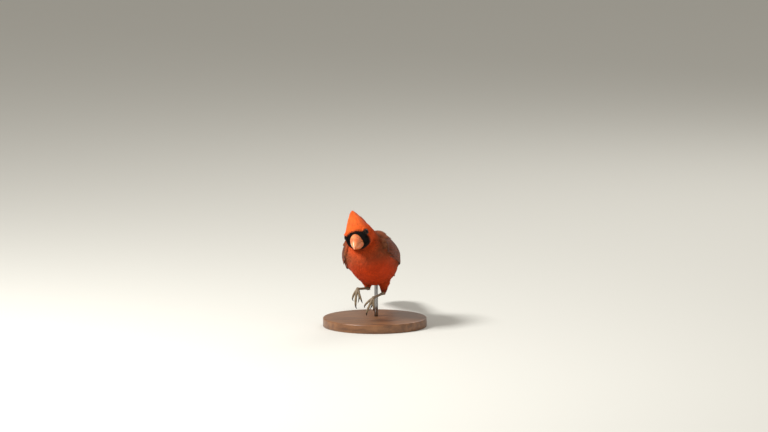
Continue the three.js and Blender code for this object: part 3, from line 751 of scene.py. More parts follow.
class Surface:
    """The skin as something to lay feathers on."""

    def __init__(self, skin):
        mesh = skin.data
        self.points = places_of(mesh)
        mesh.calc_loop_triangles()
        corners = np.empty(len(mesh.loop_triangles) * 3, np.int32)
        mesh.loop_triangles.foreach_get("vertices", corners)
        self.triangles = corners.reshape(-1, 3)
        self.tree = BVHTree.FromPolygons(self.points.tolist(), self.triangles.tolist())
        a, b, c = (self.points[self.triangles[:, k]] for k in range(3))
        cross = np.cross(b - a, c - a)
        self.area = np.linalg.norm(cross, axis=1) / 2
        vertex_normal = np.zeros_like(self.points)
        for k in range(3):
            np.add.at(vertex_normal, self.triangles[:, k], cross)
        self.vertex_normal = unit(vertex_normal)

    def nearest(self, places):
        """The nearest places of the surface, with smooth normals."""
        found = np.empty_like(places)
        look = self.tree.find_nearest
        faces = np.empty(len(places), int)
        for i, place in enumerate(places.tolist()):
            location, _, index, _ = look(Vector(place))
            found[i] = location
            faces[i] = index
        corners = self.triangles[faces]
        a, b, c = (self.points[corners[:, k]] for k in range(3))
        whole = np.linalg.norm(np.cross(b - a, c - a), axis=1) + 1e-12
        share_a = np.linalg.norm(np.cross(b - found, c - found), axis=1) / whole
        share_b = np.linalg.norm(np.cross(c - found, a - found), axis=1) / whole
        share_c = np.clip(1 - share_a - share_b, 0, 1)
        normals = (
            share_a[:, None] * self.vertex_normal[corners[:, 0]]
            + share_b[:, None] * self.vertex_normal[corners[:, 1]]
            + share_c[:, None] * self.vertex_normal[corners[:, 2]]
        )
        return found, unit(normals)

    def scatter(self, spacing, tries):
        """Places on the surface about spacing(places) apart, in no pattern."""
        picked = random.choice(len(self.area), tries, p=self.area / self.area.sum())
        u, v = random.random(tries), random.random(tries)
        flip = u + v > 1
        u[flip], v[flip] = 1 - u[flip], 1 - v[flip]
        a, b, c = (self.points[self.triangles[picked, k]] for k in range(3))
        places = a + (b - a) * u[:, None] + (c - a) * v[:, None]
        room = spacing(places)
        cell = float(room.max())
        cells = {}
        kept = []
        keys = np.floor(places / cell).astype(int)
        near = [(i, j, k) for i in (-1, 0, 1) for j in (-1, 0, 1) for k in (-1, 0, 1)]
        for n in np.flatnonzero(room > 0).tolist():
            kx, ky, kz = keys[n].tolist()
            px, py, pz = places[n].tolist()
            least = room[n] ** 2
            free = True
            for i, j, k in near:
                for qx, qy, qz in cells.get((kx + i, ky + j, kz + k), ()):
                    if (px - qx) ** 2 + (py - qy) ** 2 + (pz - qz) ** 2 < least:
                        free = False
                        break
                if not free:
                    break
            if free:
                cells.setdefault((kx, ky, kz), []).append((px, py, pz))
                kept.append(n)
        return places[kept]


def lie_of_coat(points):
    """The way that the feathers point at places on the body."""
    head = head_share(points)
    away = unit(points - head_pose.centre)
    trunk_way = unit(0.55 * away + 0.75 * trunk_pose.way((0, 1, 0)))
    on_head = head_pose.back(points)
    head_way = np.broadcast_to(head_pose.way((0, 1, 0)), points.shape).copy()
    crest = smoothstep(on_head[:, 2], 3, 9) * smoothstep(-on_head[:, 1], -14, -8)
    to_tip = unit(head_pose.out(CREST_TIP) + head_pose.way((0, 2, 3)) - points)
    head_way = unit(mix(head_way, to_tip, crest * 0.8))
    below = smoothstep(-on_head[:, 2], 4, 10)
    head_way = unit(mix(head_way, away, below * 0.6))
    way = unit(mix(trunk_way, head_way, head))
    for name in LEGS:
        line = thigh_line(name)
        near = near_thigh(points, name) * (1 - smoothstep(points[:, 2], -27, -22))
        way = unit(mix(way, unit(line[3] - line[1]), near))
    return way


# Length, width and spacing of the small feathers on the body and on the back of the head
BODY_FEATHER = (6.6, 2.3, 0.97)
HEAD_FEATHER = (4.2, 1.8, 0.78)
# How much longer they grow to the rump and on the crown, and how much they shrink on the face
RUMP_LONGER = 4.0
CREST_LONGER = 2.5
FACE_SMALLER = (1.6, 0.5, 0.16)
# How much shorter, narrower and denser they are in the mask, on the thighs and round the eyes
MASK_LESS = (0.55, 0.35, 0.25)
THIGH_LESS = (0.35, 0.4, 0.3)
EYE_LESS = (0.55, 0.45, 0.35)
# Radius round the eye inside which no feather grows, and radii between which the feathers grow to full size
BARE_EYE = 2.95
NEAR_EYE = (3.6, 7.5)


def feather_sizes(points):
    """Length, width and spacing of the coat's feathers at places on the body."""
    on_head, on_trunk = head_pose.back(points), trunk_pose.back(points)
    head, mask, thigh = head_share(points), mask_share(on_head), thigh_share(points)
    crest = smoothstep(on_head[:, 2], 6, 12) * smoothstep(on_head[:, 1], -13, -2) * head
    face = head * smoothstep(-on_head[:, 1], -6, 6)
    longer = (RUMP_LONGER * smoothstep(on_trunk[:, 1], 20, 62), 0, 0)
    crested = (CREST_LONGER * crest, 0, 0)
    sizes = [
        (body + more) * (1 - head) + (on_top - less * face + extra) * head
        for body, more, on_top, less, extra in zip(BODY_FEATHER, longer, HEAD_FEATHER, FACE_SMALLER, crested)
    ]
    sizes = [size * (1 - m * mask) * (1 - t * thigh) for size, m, t in zip(sizes, MASK_LESS, THIGH_LESS)]
    for side in (-1, 1):
        centre, out, _, _ = eye_frame(side)
        outward = (on_head - centre) @ out
        eye = np.linalg.norm(on_head - centre - outward[:, None] * out, axis=1) + 9 * (outward < 0)
        near = 1 - smoothstep(eye, *NEAR_EYE)
        length, width, gap = (size * (1 - less * near) for size, less in zip(sizes, EYE_LESS))
        sizes = [length, width, np.where(eye < BARE_EYE, 0, gap)]
    length, width, gap = sizes
    return length, width, np.where(on_trunk[:, 1] > TAIL_ROOT + 5, 0, gap)


def angle_from_top(on_trunk):
    """How far round the trunk's oval section places are from straight up, in degrees."""
    aside, up = np.abs(on_trunk[:, 0]) / TRUNK_HALF_WIDTH, on_trunk[:, 2] / TRUNK_HALF_HEIGHT
    return np.degrees(np.arctan2(aside, up))


# The part of the trunk that the folded wings hide: from and to these degrees round it and these places along
# it, and how many degrees the wing's lower edge rises for each millimetre behind the middle
HIDDEN_ROUND = (46, 96)
HIDDEN_ALONG = (-27, 34)
HIDDEN_RISE = 0.35


def under_wing(points):
    """Whether places on the body lie well under the folded wings."""
    on_trunk = trunk_pose.back(points)
    angle, y = angle_from_top(on_trunk), on_trunk[:, 1]
    inside = (angle > HIDDEN_ROUND[0]) & (angle < HIDDEN_ROUND[1] - HIDDEN_RISE * np.maximum(y, 0))
    inside = inside & (y > HIDDEN_ALONG[0]) & (y < HIDDEN_ALONG[1])
    return inside & (head_share(points) < 0.1)


# A feather is one vane up to where it parts into strands, which narrow to its ragged edge
VANE_SHARES = (0, 0.24, 0.46, 0.64)
STRAND_SHARES = (0.82, 1)
SHARES = np.array(VANE_SHARES + STRAND_SHARES)
STRANDS = 5
# Rows of the strands: width as a share of a strand's room, and how much of its drift, reach and curl it has
STRAND_ROWS = ((0.72, 0.45), (0.14, 1.0))
# Width along a feather as shares of its widest, and how much its edges droop for their distance from its line
FEATHER_OUTLINE = ((0, 0.25, 0.6, 1), (0.42, 0.8, 1, 0.86))
FEATHER_DROOP = 0.22
ROOT_DEPTH = 0.3
# Height over a hollow from which a feather runs straight on, and how far it may stand off the skin there
FREE_HEIGHT = 0.9
MOST_LEAVING = 1.6


def lines_on_surface(surface, roots, ways, length):
    """Centre lines of feathers along the skin, with the ways out and onward at each place.

    The last result is how far each feather leaves the skin where it crosses a hollow.
    """
    places, normals = surface.nearest(roots)
    leaves = np.zeros(len(roots))
    ways = unit(ways - (ways * normals).sum(1, keepdims=True) * normals)
    centre, out, tangent = [places], [normals], [ways]
    for step in np.diff(SHARES):
        ahead = centre[-1] + tangent[-1] * (length * step)[:, None]
        here, normals = surface.nearest(ahead)
        height = np.linalg.norm(ahead - here, axis=1)
        leaves = np.maximum(leaves, height)
        free = (height > FREE_HEIGHT)[:, None]
        normals = np.where(free, out[-1], normals)
        centre.append(np.where(free, ahead, here))
        way = tangent[-1]
        tangent.append(unit(way - (way * normals).sum(1, keepdims=True) * normals))
        out.append(normals)
    return tuple(np.stack(part, 1) for part in (centre, out, tangent)), leaves


def feather_points(lines, length, width, lift):
    """Points of feathers along their centre lines, with each point's share along and across its feather."""
    centre, out, tangent = lines
    count = len(centre)
    side = unit(np.cross(out, tangent))
    half = width[:, None] / 2 * np.interp(SHARES, *FEATHER_OUTLINE)
    rise = lift[:, None] * SHARES**1.4 - ROOT_DEPTH * (1 - SHARES)
    rise = rise + random.normal(0, 0.06, (count, 1)) * SHARES

    def at(row, across, onward, up):
        place = centre[:, row, None] + side[:, row, None] * (half[:, row, None] * across)[..., None]
        height = rise[:, row, None] - FEATHER_DROOP * half[:, row, None] * across**2 + up
        return place + out[:, row, None] * height[..., None] + tangent[:, row, None] * onward[..., None]

    across = np.linspace(-1, 1, STRANDS + 1)
    flat = np.zeros((count, STRANDS + 1))
    points = [at(row, across, flat, flat) for row in range(len(VANE_SHARES))]
    shares = [np.full(STRANDS + 1, share) for share in VANE_SHARES]
    acrosses = [across] * len(VANE_SHARES)
    middle = (across[1:] + across[:-1]) / 2
    drift = random.normal(0, 0.07, (count, STRANDS))
    reach = length[:, None] * (random.uniform(-0.16, 0.06, (count, STRANDS)) - 0.14 * middle**2)
    curl = random.uniform(-0.12, 0.22, (count, STRANDS))
    ends = []
    for row, (narrow, far) in enumerate(STRAND_ROWS, len(VANE_SHARES)):
        for edge in (-1, 1):
            place = middle + edge * narrow / STRANDS + drift * far
            ends.append((at(row, place, reach * far, curl * far), np.full(STRANDS, SHARES[row]), place))
    strand_points = np.stack([end[0] for end in ends], 2).reshape(count, -1, 3)
    strand_shares = np.stack([end[1] for end in ends], 1).reshape(-1)
    strand_across = np.stack([end[2] for end in ends], 2).reshape(count, -1)
    points = np.concatenate([*points, strand_points], 1)
    shares = np.broadcast_to(np.concatenate([*shares, strand_shares]), points.shape[:2])
    vane_across = np.broadcast_to(np.concatenate(acrosses), (count, len(VANE_SHARES) * (STRANDS + 1)))
    return points, shares, np.concatenate([vane_across, strand_across], 1)


def feather_quads():
    """Faces of one feather."""
    rows, columns = len(VANE_SHARES), STRANDS + 1
    quads = [grid_faces(rows, columns)]
    for j in range(STRANDS):
        root = (rows - 1) * columns + j
        strand = rows * columns + 4 * j
        quads.append([[root, root + 1, strand + 1, strand], [strand, strand + 1, strand + 3, strand + 2]])
    return np.concatenate(quads)


# Size of one feather's patch on the bake map
UV_PATCH = 0.0028
# A feather's shade at its root, and how much lighter its outer end is
ROOT_TONE = 0.72
TIP_LIGHTER = 0.32


def coat_piece(name, lines, length, width, lift, material, tint=None):
    """One mesh of many feathers, with its markings and bake map."""
    points, shares, acrosses = feather_points(lines, length, width, lift)
    count, size = points.shape[:2]
    quads = (feather_quads()[None] + (np.arange(count) * size)[:, None, None]).reshape(-1, 4)
    made = quad_object(name, points.reshape(-1, 3), quads, material)
    roots = lines[0][:, 0]
    colours, fringe = plumage(roots)
    if tint is not None:
        colours = np.broadcast_to(tint, colours.shape)
    shade = random.normal(1, 0.07, (count, 1, 1)).clip(0.78, 1.22)
    tone = (ROOT_TONE + TIP_LIGHTER * smoothstep(shares, 0.1, 0.75))[..., None]
    grey = (fringe[:, None] * smoothstep(shares, 0.6, 1.0))[..., None]
    colour = colours[:, None] * tone * shade * (1 - grey) + COLOUR["fringe"] * grey
    set_points_attribute(made, "tint", with_alpha(colour.reshape(-1, 3)))
    seed = np.broadcast_to(random.random((count, 1)), shares.shape)
    set_points_attribute(made, "vane", np.stack([acrosses, shares, seed], -1).reshape(-1, 3))
    patch = np.stack([acrosses * UV_PATCH / 2, (shares - 0.5) * UV_PATCH], -1)
    set_uv(made, np.clip(body_uv(roots)[:, None] + patch, 0.001, 0.999).reshape(-1, 2))
    return made


ROOT_TRIES = 320000
# How much the feathers differ from their neighbours in length and width, and in their way
VARIED = (0.85, 1.15)
ASTRAY = 0.07
# How much higher the feathers just ahead of the wings stand
OVER_WING_LIFT = 1.3
# Where the face's coat ends on the head, and the neck's on the trunk
FACE_END = -2
NECK_END = -22


def make_coat(surface, material):
    """The small feathers of the whole body, in one piece for each region."""
    roots = surface.scatter(lambda p: np.where(under_wing(p), 0, feather_sizes(p)[2]), ROOT_TRIES)
    length, width, _ = feather_sizes(roots)
    length = length * random.uniform(*VARIED, len(roots))
    width = width * random.uniform(*VARIED, len(roots))
    ways = unit(lie_of_coat(roots) + random.normal(0, ASTRAY, roots.shape))
    on_head, on_trunk = head_pose.back(roots), trunk_pose.back(roots)
    head = head_share(roots)
    lift = (0.7 + 0.3 * smoothstep(length, 4, 8)) * (1 - 0.3 * head)
    angle = angle_from_top(on_trunk)
    over_wing = smoothstep(on_trunk[:, 1], -40, -31) * (1 - smoothstep(on_trunk[:, 1], -31, -27))
    lift = lift + OVER_WING_LIFT * over_wing * smoothstep(angle, 38, 50) * (1 - smoothstep(angle, 96, 108))
    regions = {
        "coat_face": (head > 0.5) & (on_head[:, 1] < FACE_END),
        "coat_crown": (head > 0.5) & (on_head[:, 1] >= FACE_END),
        "coat_neck": (head <= 0.5) & (on_trunk[:, 1] < NECK_END),
        "coat_belly": (head <= 0.5) & (on_trunk[:, 1] >= NECK_END) & (on_trunk[:, 2] < 0),
        "coat_back": (head <= 0.5) & (on_trunk[:, 1] >= NECK_END) & (on_trunk[:, 2] >= 0),
    }
    pieces = []
    for name, here in regions.items():
        lines, leaves = lines_on_surface(surface, roots[here], ways[here], length[here])
        kept = leaves < MOST_LEAVING
        sizes = [part[here][kept] for part in (length, width, lift)]
        pieces.append(coat_piece(name, tuple(part[kept] for part in lines), *sizes, material))
    return pieces


# A feather is left out where its way or its face turns too far, as cosines, or where it is drawn out
LEAST_STRAIGHT = 0.8
LEAST_LEVEL = 0.75
MOST_STRETCH = 1.25


def shell_lines(surface, root, tip, out, side, width, leaving):
    """Feathers over the folded wings from places along and round them, at heights at root and tip.

    Ahead of the wings they lie on the skin. leaving gives the shares of a feather between which it rises
    from the skin. The result is their centre lines, lengths and widths.
    """
    share = SHARES[None]
    y, angle, height = (a[:, None] + (b - a)[:, None] * share for a, b in (*zip(root, tip), out))
    centre = shell_point(y, angle, height)
    normal = unit(centre * (1, 0, 1))
    centre, normal = trunk_pose.out(mirrored(centre, side)), trunk_pose.way(mirrored(normal, side))
    found, outward = surface.nearest(centre.reshape(-1, 3))
    found, outward = found.reshape(centre.shape), outward.reshape(centre.shape)
    on_wing = (smoothstep(y, -41, -32) * smoothstep(share, *leaving))[..., None]
    centre = (found + outward * (0.7 * share - 0.1)[..., None]) * (1 - on_wing) + centre * on_wing
    normal = unit(outward * (1 - on_wing) + normal * on_wing)
    tangent = unit(np.gradient(centre, axis=1))
    length = np.linalg.norm(np.diff(centre, axis=1), axis=2).sum(1)
    straight = (tangent[:, :1] * tangent).sum(2).min(1) > LEAST_STRAIGHT
    level = (normal[:, :1] * normal).sum(2).min(1) > LEAST_LEVEL
    even = straight & level & (length < MOST_STRETCH * (tip[0] - root[0]))
    lines = centre[even], normal[even], tangent[even]
    return lines, length[even], np.full(even.sum(), float(width))


def scattered(first, second):
    """Every pair of two series of numbers, each a little out of line."""
    a, b = np.meshgrid(first, second, indexing="ij")
    a, b = a.ravel(), b.ravel()
    step_a, step_b = first[1] - first[0], second[1] - second[0]
    return a + random.uniform(-0.4, 0.4, len(a)) * step_a, b + random.uniform(-0.4, 0.4, len(b)) * step_b


# How far out the tops of the coverts are, at degrees from straight up
COVERT_TOPS = ((12, 21, 29, 40, 70, 96, 112), (-1.7, 0.9, 3.2, 4.2, 3.2, 2.2, 0.7))
# The folded wing's lower edge: places along the trunk, degrees from straight up
LOWER_EDGE = ((-39, -26, -16, 0, 20, 50), (92, 104, 103, 99, 92, 78))


def wing_level(y, angle):
    """How far out the tops of the folded wing's coverts are, down to the skin ahead of it."""
    level = np.interp(angle, *COVERT_TOPS)
    return level * smoothstep(y, -42, -31)


# Spacing of the feathers over the wings' edges, along the bird and round it
EDGE_STEP = 1.7
EDGE_TURN = 2.4


def shoulder_feathers(surface, side):
    """Feathers of the back that lie over the wing's upper edge, from the neck to the tertials."""
    y, angle = scattered(np.arange(-36, 10, EDGE_STEP), np.arange(12, 56, EDGE_TURN))
    kept = (angle < 44) | (y < -27)
    y, angle = y[kept], angle[kept]
    length = random.uniform(7.5, 10, len(y)) + 2 * smoothstep(y, -20, 10)
    tip = (y + length, angle + 2.5)
    root_level = (wing_level(y, angle) - 0.7 + 0.5 * smoothstep(angle, 26, 38)) * smoothstep(y, -39, -30)
    out = (root_level, wing_level(*tip) + 0.5)
    return shell_lines(surface, (y, angle), tip, out, side, width=3.2, leaving=(-0.3, 0.5))


def flank_feathers(surface, side):
    """Feathers of the flank, which lie over the front of the wing's lower edge and under the rest of it."""
    y, below = scattered(np.arange(-38, 30, EDGE_STEP), np.arange(-8, 15, EDGE_TURN))
    edge = np.interp(y, *LOWER_EDGE)
    length = random.uniform(7, 9.5, len(y))
    over = smoothstep(y, -40, -22) * 1.2 - 2.0 * smoothstep(y, -16, -2) - 2.6 * smoothstep(below, -2, 14)
    out = (over - 1.2, np.maximum(over, -1.6))
    angle = edge + below
    root, tip = (y, angle), (y + length, angle - 5)
    return shell_lines(surface, root, tip, out, side, width=2.9, leaving=(0.0, 0.65))


def tail_coverts(top):
    """Long feathers from the rump and the vent over the tail's base."""
    x, far = scattered(np.linspace(-5.4, 5.4, 8), np.arange(-12, 9, 3.0))
    length = random.uniform(14, 19, len(x))
    along_tail = far[:, None] + length[:, None] * SHARES
    across = x[:, None] * (1 + 0.012 * (along_tail - far[:, None]))
    thick = np.interp(along_tail, [row[0] for row in TAIL_WEDGE], [row[2] for row in TAIL_WEDGE])
    round_off = 0.35 * thick * (across / TAIL_WEDGE[0][1]) ** 2
    face, least = (1, 1.7) if top else (-1, 2.2)
    level = TAIL_LEVEL + face * np.maximum(thick - round_off + 0.5, least) + face * 0.25 * SHARES
    centre = np.stack([across, TAIL_ROOT + along_tail, level], -1)
    tangent = unit(np.gradient(centre, axis=1))
    normal = unit(np.stack([across * 0.06, np.zeros_like(across), np.full_like(across, face)], -1))
    bent = [trunk_pose.way(bend_tail(part + TAIL_HINGE) - TAIL_HINGE) for part in (normal, tangent)]
    return (trunk_pose.out(bend_tail(centre)), *bent), length, np.full(len(x), 3.8)


def heel_feathers(name):
    """Short feathers of the thigh that end over the heel."""
    line = thigh_line(name)
    axis = unit(line[3] - line[1])
    ahead = unit(np.cross(axis, np.cross(LEGS[name]["shank"], axis)))
    aside = np.cross(axis, ahead)
    around, row = scattered(np.arange(0, 2 * math.pi, 0.42), np.arange(0, 3, 1.0))
    length = random.uniform(3.6, 4.6, len(around))
    spoke = np.cos(around)[:, None] * ahead + np.sin(around)[:, None] * aside
    root = line[3] - axis * (4.6 - 1.1 * row)[:, None] + spoke * 2.5
    tip = root + axis * length[:, None] - spoke * 0.7 + ahead * 0.4
    centre = root[:, None] + (tip - root)[:, None] * SHARES[:, None]
    tangent = np.broadcast_to(unit(tip - root)[:, None], centre.shape)
    normal = np.broadcast_to(spoke[:, None], centre.shape)
    return (centre, normal, tangent), length, np.full(len(around), 1.9)


def make_overlays(surface, material):
    """The feathers that lie over the edges of the wings, the tail's base and the heels."""
    pieces = []

    def add(name, laid, lift, tint=None):
        lines, length, width = laid
        pieces.append(coat_piece(name, lines, length, width, np.full(len(length), lift), material, tint))

    for name, side in SIDES.items():
        add(f"scapulars_{name}", shoulder_feathers(surface, side), 0.3)
        add(f"flank_{name}", flank_feathers(surface, side), 0.3)
        add(f"heel_{name}", heel_feathers(name), 0.2)
    add("tail_coverts", tail_coverts(top=True), 0.15, COLOUR["rump"])
    add("vent_coverts", tail_coverts(top=False), 0.15, COLOUR["vent"])
    return pieces


# Vanes of the wings, the tail and the crest


def vane_outline(share, pointed):
    """Half width of a feather along its length, as a share of its widest."""
    share = np.asarray(share, float)
    root = 0.5 + 0.5 * smoothstep(share, 0, 0.4)
    tip = np.sqrt(np.maximum(0, 1 - np.clip((share - pointed) / (1 - pointed), 0, 1) ** 2.2))
    return root * np.maximum(tip, 0.1)


def vane_solid(surface_point, share, across, thick):
    """A thin closed vane: surface_point(share, across) gives its middle sheet and its outward way."""
    middle, normal = surface_point(share[:, None], across[None, :])
    half = (thick * np.interp(share, (0, 0.8, 1), (0.5, 0.4, 0.25)))[:, None, None]
    edge = np.clip(1.15 - np.abs(across) ** 4, 0.15, 1)[None, :, None]
    upper, lower = middle + normal * half * edge, middle - normal * half * edge
    rows, columns = len(share), len(across)
    points = np.concatenate([upper.reshape(-1, 3), lower.reshape(-1, 3)])
    quads = [grid_faces(rows, columns), grid_faces(rows, columns, start=rows * columns)[:, ::-1]]
    border = [i * columns for i in range(rows)]
    border += [(rows - 1) * columns + j for j in range(1, columns)]
    border += [i * columns + columns - 1 for i in range(rows - 2, -1, -1)]
    border += [j for j in range(columns - 2, 0, -1)]
    border = np.array(border)
    following = np.roll(border, -1)
    quads.append(np.stack([following, border, border + rows * columns, following + rows * columns], 1))
    return points, np.concatenate(quads)


class Vanes:
    """Vanes that are collected into one mesh, with their markings."""

    def __init__(self):
        self.points, self.quads, self.tint, self.vane, self.cells = [], [], [], [], []
        self.count = 0

    def add(self, surface_point, rows, columns, thick, tint):
        share = np.sin(0.5 * math.pi * np.linspace(0, 1, rows)) ** 0.9
        across = np.linspace(-1, 1, columns)
        points, quads = vane_solid(surface_point, share, across, thick)
        self.quads.append(quads + self.count)
        self.count += len(points)
        self.points.append(points)
        s, t = (np.tile(part.ravel(), 2) for part in np.meshgrid(share, across, indexing="ij"))
        seed = random.random()
        self.tint.append(tint(s, t, seed))
        self.vane.append(np.stack([t, s, np.full(len(s), seed)], 1))
        self.cells.append(np.stack([(t + 1) / 2, s], 1))

    def build(self, name, material):
        made = quad_object(name, np.concatenate(self.points), np.concatenate(self.quads), material)
        set_points_attribute(made, "tint", with_alpha(np.concatenate(self.tint)))
        set_points_attribute(made, "vane", np.concatenate(self.vane))
        side = math.ceil(math.sqrt(len(self.cells)))
        places = [
            (cell * 0.9 + 0.05 + (k % side, k // side)) / side for k, cell in enumerate(self.cells)
        ]
        set_uv(made, np.concatenate(places))
        return made


def on_shell(points, out):
    """Points moved straight in or out to so far outside the folded wings' surface."""
    wide, high, level = (along(SHELL, c, points[..., 1]) for c in (1, 2, 3))
    turn = np.degrees(np.arctan2(points[..., 0] / wide, (points[..., 2] - level) / high))
    return shell_point(points[..., 1], turn, out)


# How much a vane of the wing tilts and droops from its shaft, and how high the shaft stands
VANE_TILT = 0.32
VANE_CAMBER = 0.25
SHAFT_HEIGHT = 0.1
# How deep the roots of the coverts are sunk
COVERT_SUNK = 1.5


def shell_vane(root, tip, half_width, out, pointed, side, sunk):
    """The middle sheet of a feather on the wings' surface, its root sunk below the feathers ahead of it."""
    root, tip = np.array(root, float), np.array(tip, float)

    def at(share):
        place = root + (tip - root) * np.asarray(share)[..., None]
        return shell_point(place[..., 0], place[..., 1], 0)

    def sheet(share, across):
        share, across = np.broadcast_arrays(share, across)
        point = at(share)
        ahead = np.minimum(share + 0.02, 1)
        way = unit(at(ahead) - at(ahead - 0.04))
        normal = unit(point * (1, 0, 1))
        sideways = unit(np.cross(normal, way))
        wide = half_width * vane_outline(share, pointed) * across
        shaft = SHAFT_HEIGHT * np.exp(-((across * 9) ** 2))
        level = out - across * VANE_TILT - VANE_CAMBER * across**2 + shaft
        level = level - sunk * np.maximum(1 - 2 * share, 0) ** 1.5
        flat = point + sideways * wide[..., None]
        placed = on_shell(flat, level)
        away = unit(placed * (1, 0, 1))
        return trunk_pose.out(mirrored(placed, side)), trunk_pose.way(mirrored(away, side))

    return sheet


# Rows of wing feathers: count, first root and tip, last root and tip, half widths, levels, where the tip
# begins, bow of the row. Roots and tips are places along the trunk and angles from straight up.
WING_ROWS = {
    "primaries": (9, (-8, 84), (44, 66), (-16, 101), (50, 78), (4.4, 3.4), (0.7, 0.3), 0.7, 10),
    "secondaries": (7, (0, 54), (37, 42), (-8, 80), (42, 60), (5.2, 4.8), (1.5, 0.9), 0.72, 0),
    "tertials": (3, (-4, 36), (18, 31), (0, 48), (33, 38), (5.6, 5.4), (2.4, 1.9), 0.6, 0),
    "primary_coverts": (6, (-22, 88), (8, 82), (-26, 104), (2, 95), (3.0, 2.6), (1.4, 0.9), 0.6, 0),
    "greater_coverts": (9, (-14, 42), (5, 38), (-20, 98), (4, 90), (4.0, 3.6), (3.0, 1.7), 0.5, 3),
    "median_coverts": (9, (-24, 44), (-8, 40), (-29, 96), (-13, 92), (3.8, 3.5), (3.1, 2.1), 0.45, 2),
    "lesser_coverts_1": (9, (-29, 46), (-17, 43), (-33, 94), (-20, 91), (3.4, 3.2), (3.0, 2.1), 0.4, 1),
    "lesser_coverts_2": (8, (-31, 50), (-21, 47), (-33, 90), (-23, 88), (3.2, 3.0), (2.7, 2.1), 0.4, 1),
}


def wing_tint(dark, edge, grey_share):
    """Markings of a wing or tail feather: dusky in the middle, red outside, with a paler fringe."""

    def tint(share, across, seed):
        rim = smoothstep(np.abs(across - 0.1), 0.35, 0.95)
        colour = mix(np.broadcast_to(dark, (len(share), 3)), edge, 0.35 + 0.6 * rim)
        fringe = np.maximum(smoothstep(np.abs(across), 0.86, 0.99), smoothstep(share, 0.93, 1)) * grey_share
        colour = mix(colour, COLOUR["fringe"], fringe)
        return colour * (0.86 + 0.28 * seed)

    return tint


def blend(pair, share):
    """A place or size between two of them."""
    first, last = pair
    return np.array(first, float) * (1 - share) + np.array(last, float) * share


def make_wing(name, side, material):
    """One folded wing, row by row from its lowest feathers to its topmost."""
    vanes = Vanes()
    for row, (count, root_a, tip_a, root_b, tip_b, halves, outs, pointed, bow) in WING_ROWS.items():
        long = row in ("primaries", "secondaries", "tertials")
        rows, columns, sunk, redder = (16, 9, 0, 1) if long else (10, 7, COVERT_SUNK, 1.15)
        tint = wing_tint(COLOUR["wing_dark"], COLOUR["wing_edge"] * redder, 0.25)
        for i in range(count):
            share = i / (count - 1)
            hump = 4 * share * (1 - share) * bow
            root, tip = blend((root_a, root_b), share), blend((tip_a, tip_b), share) + (hump, 0)
            tip = tip + random.normal(0, 0.35, 2)
            sheet = shell_vane(root, tip, blend(halves, share), blend(outs, share), pointed, side, sunk)
            vanes.add(sheet, rows, columns, 0.3, tint)
    return vanes.build(name, material)


# Tail feathers: half width and where the tip begins
TAIL_HALF_WIDTH = 6.1
TAIL_POINTED = 0.86
# Degrees out, place aside and level of the middle pair, and how much more or less each further pair has
TAIL_FAN = (0.5, 0.95)
TAIL_ASIDE = (1.1, 0.55)
TAIL_TOP = (3.2, -0.42)
# How much the fan droops to its sides, how much lower its left feathers lie than the right ones, and how much
# shorter the outermost pair is
TAIL_DROOP = 0.022
LEFT_LOWER = 0.12
OUTER_SHORTER = 3


def tail_vane(pair, side):
    """The middle sheet of one tail feather."""
    fan = math.radians(side * (TAIL_FAN[0] + TAIL_FAN[1] * pair))
    length = TAIL_LENGTH - 0.33 * pair * pair - (OUTER_SHORTER if pair == TAIL_PAIRS - 1 else 0)
    level = TAIL_TOP[0] + TAIL_TOP[1] * pair - (LEFT_LOWER if side > 0 else 0)
    x = side * (TAIL_ASIDE[0] + TAIL_ASIDE[1] * pair)

    def sheet(share, across):
        share, across = np.broadcast_arrays(share, across)
        far = share * length
        wide = TAIL_HALF_WIDTH * vane_outline(share, TAIL_POINTED) * across
        droop = TAIL_DROOP * (x + wide) ** 2 * share
        ridge = SHAFT_HEIGHT * np.exp(-((across * 10) ** 2))
        z = level - droop - across * side * 0.18 + ridge - 0.1 * across**2
        place = np.stack([x + far * math.sin(fan) + wide, TAIL_ROOT + far * math.cos(fan), z], -1)
        up = np.broadcast_to(trunk_pose.way((0, 0, 1)), place.shape)
        return trunk_pose.out(bend_tail(place)), up

    return sheet


def make_tail(material):
    """The fan of tail feathers, pair by pair from the middle one out."""
    vanes = Vanes()
    tint = wing_tint(COLOUR["tail_dark"], COLOUR["tail_edge"], 0.3)
    for pair in range(TAIL_PAIRS):
        for side in (-1, 1):
            vanes.add(tail_vane(pair, side), 22, 11, 0.34, tint)
    return vanes.build("tail_feathers", material)


# Rings of crest feathers: share of the crest's footprint, count, reach towards the tip
CREST_RINGS = [
    (1.0, 46, 0.36), (0.93, 46, 0.45), (0.86, 44, 0.54), (0.78, 42, 0.63), (0.69, 38, 0.71),
    (0.59, 34, 0.79), (0.49, 30, 0.86), (0.38, 24, 0.91), (0.26, 18, 0.96), (0.14, 10, 1.0),
]
# The nearest that a crest feather comes to the tip, as a share of its way there
CREST_MOST = 0.94
CREST_ROOT_DEPTH = 2.2
CREST_CENTRE = 1.5
CREST_HALF_WIDTH = 12.2
CREST_HALF_LENGTH = 12


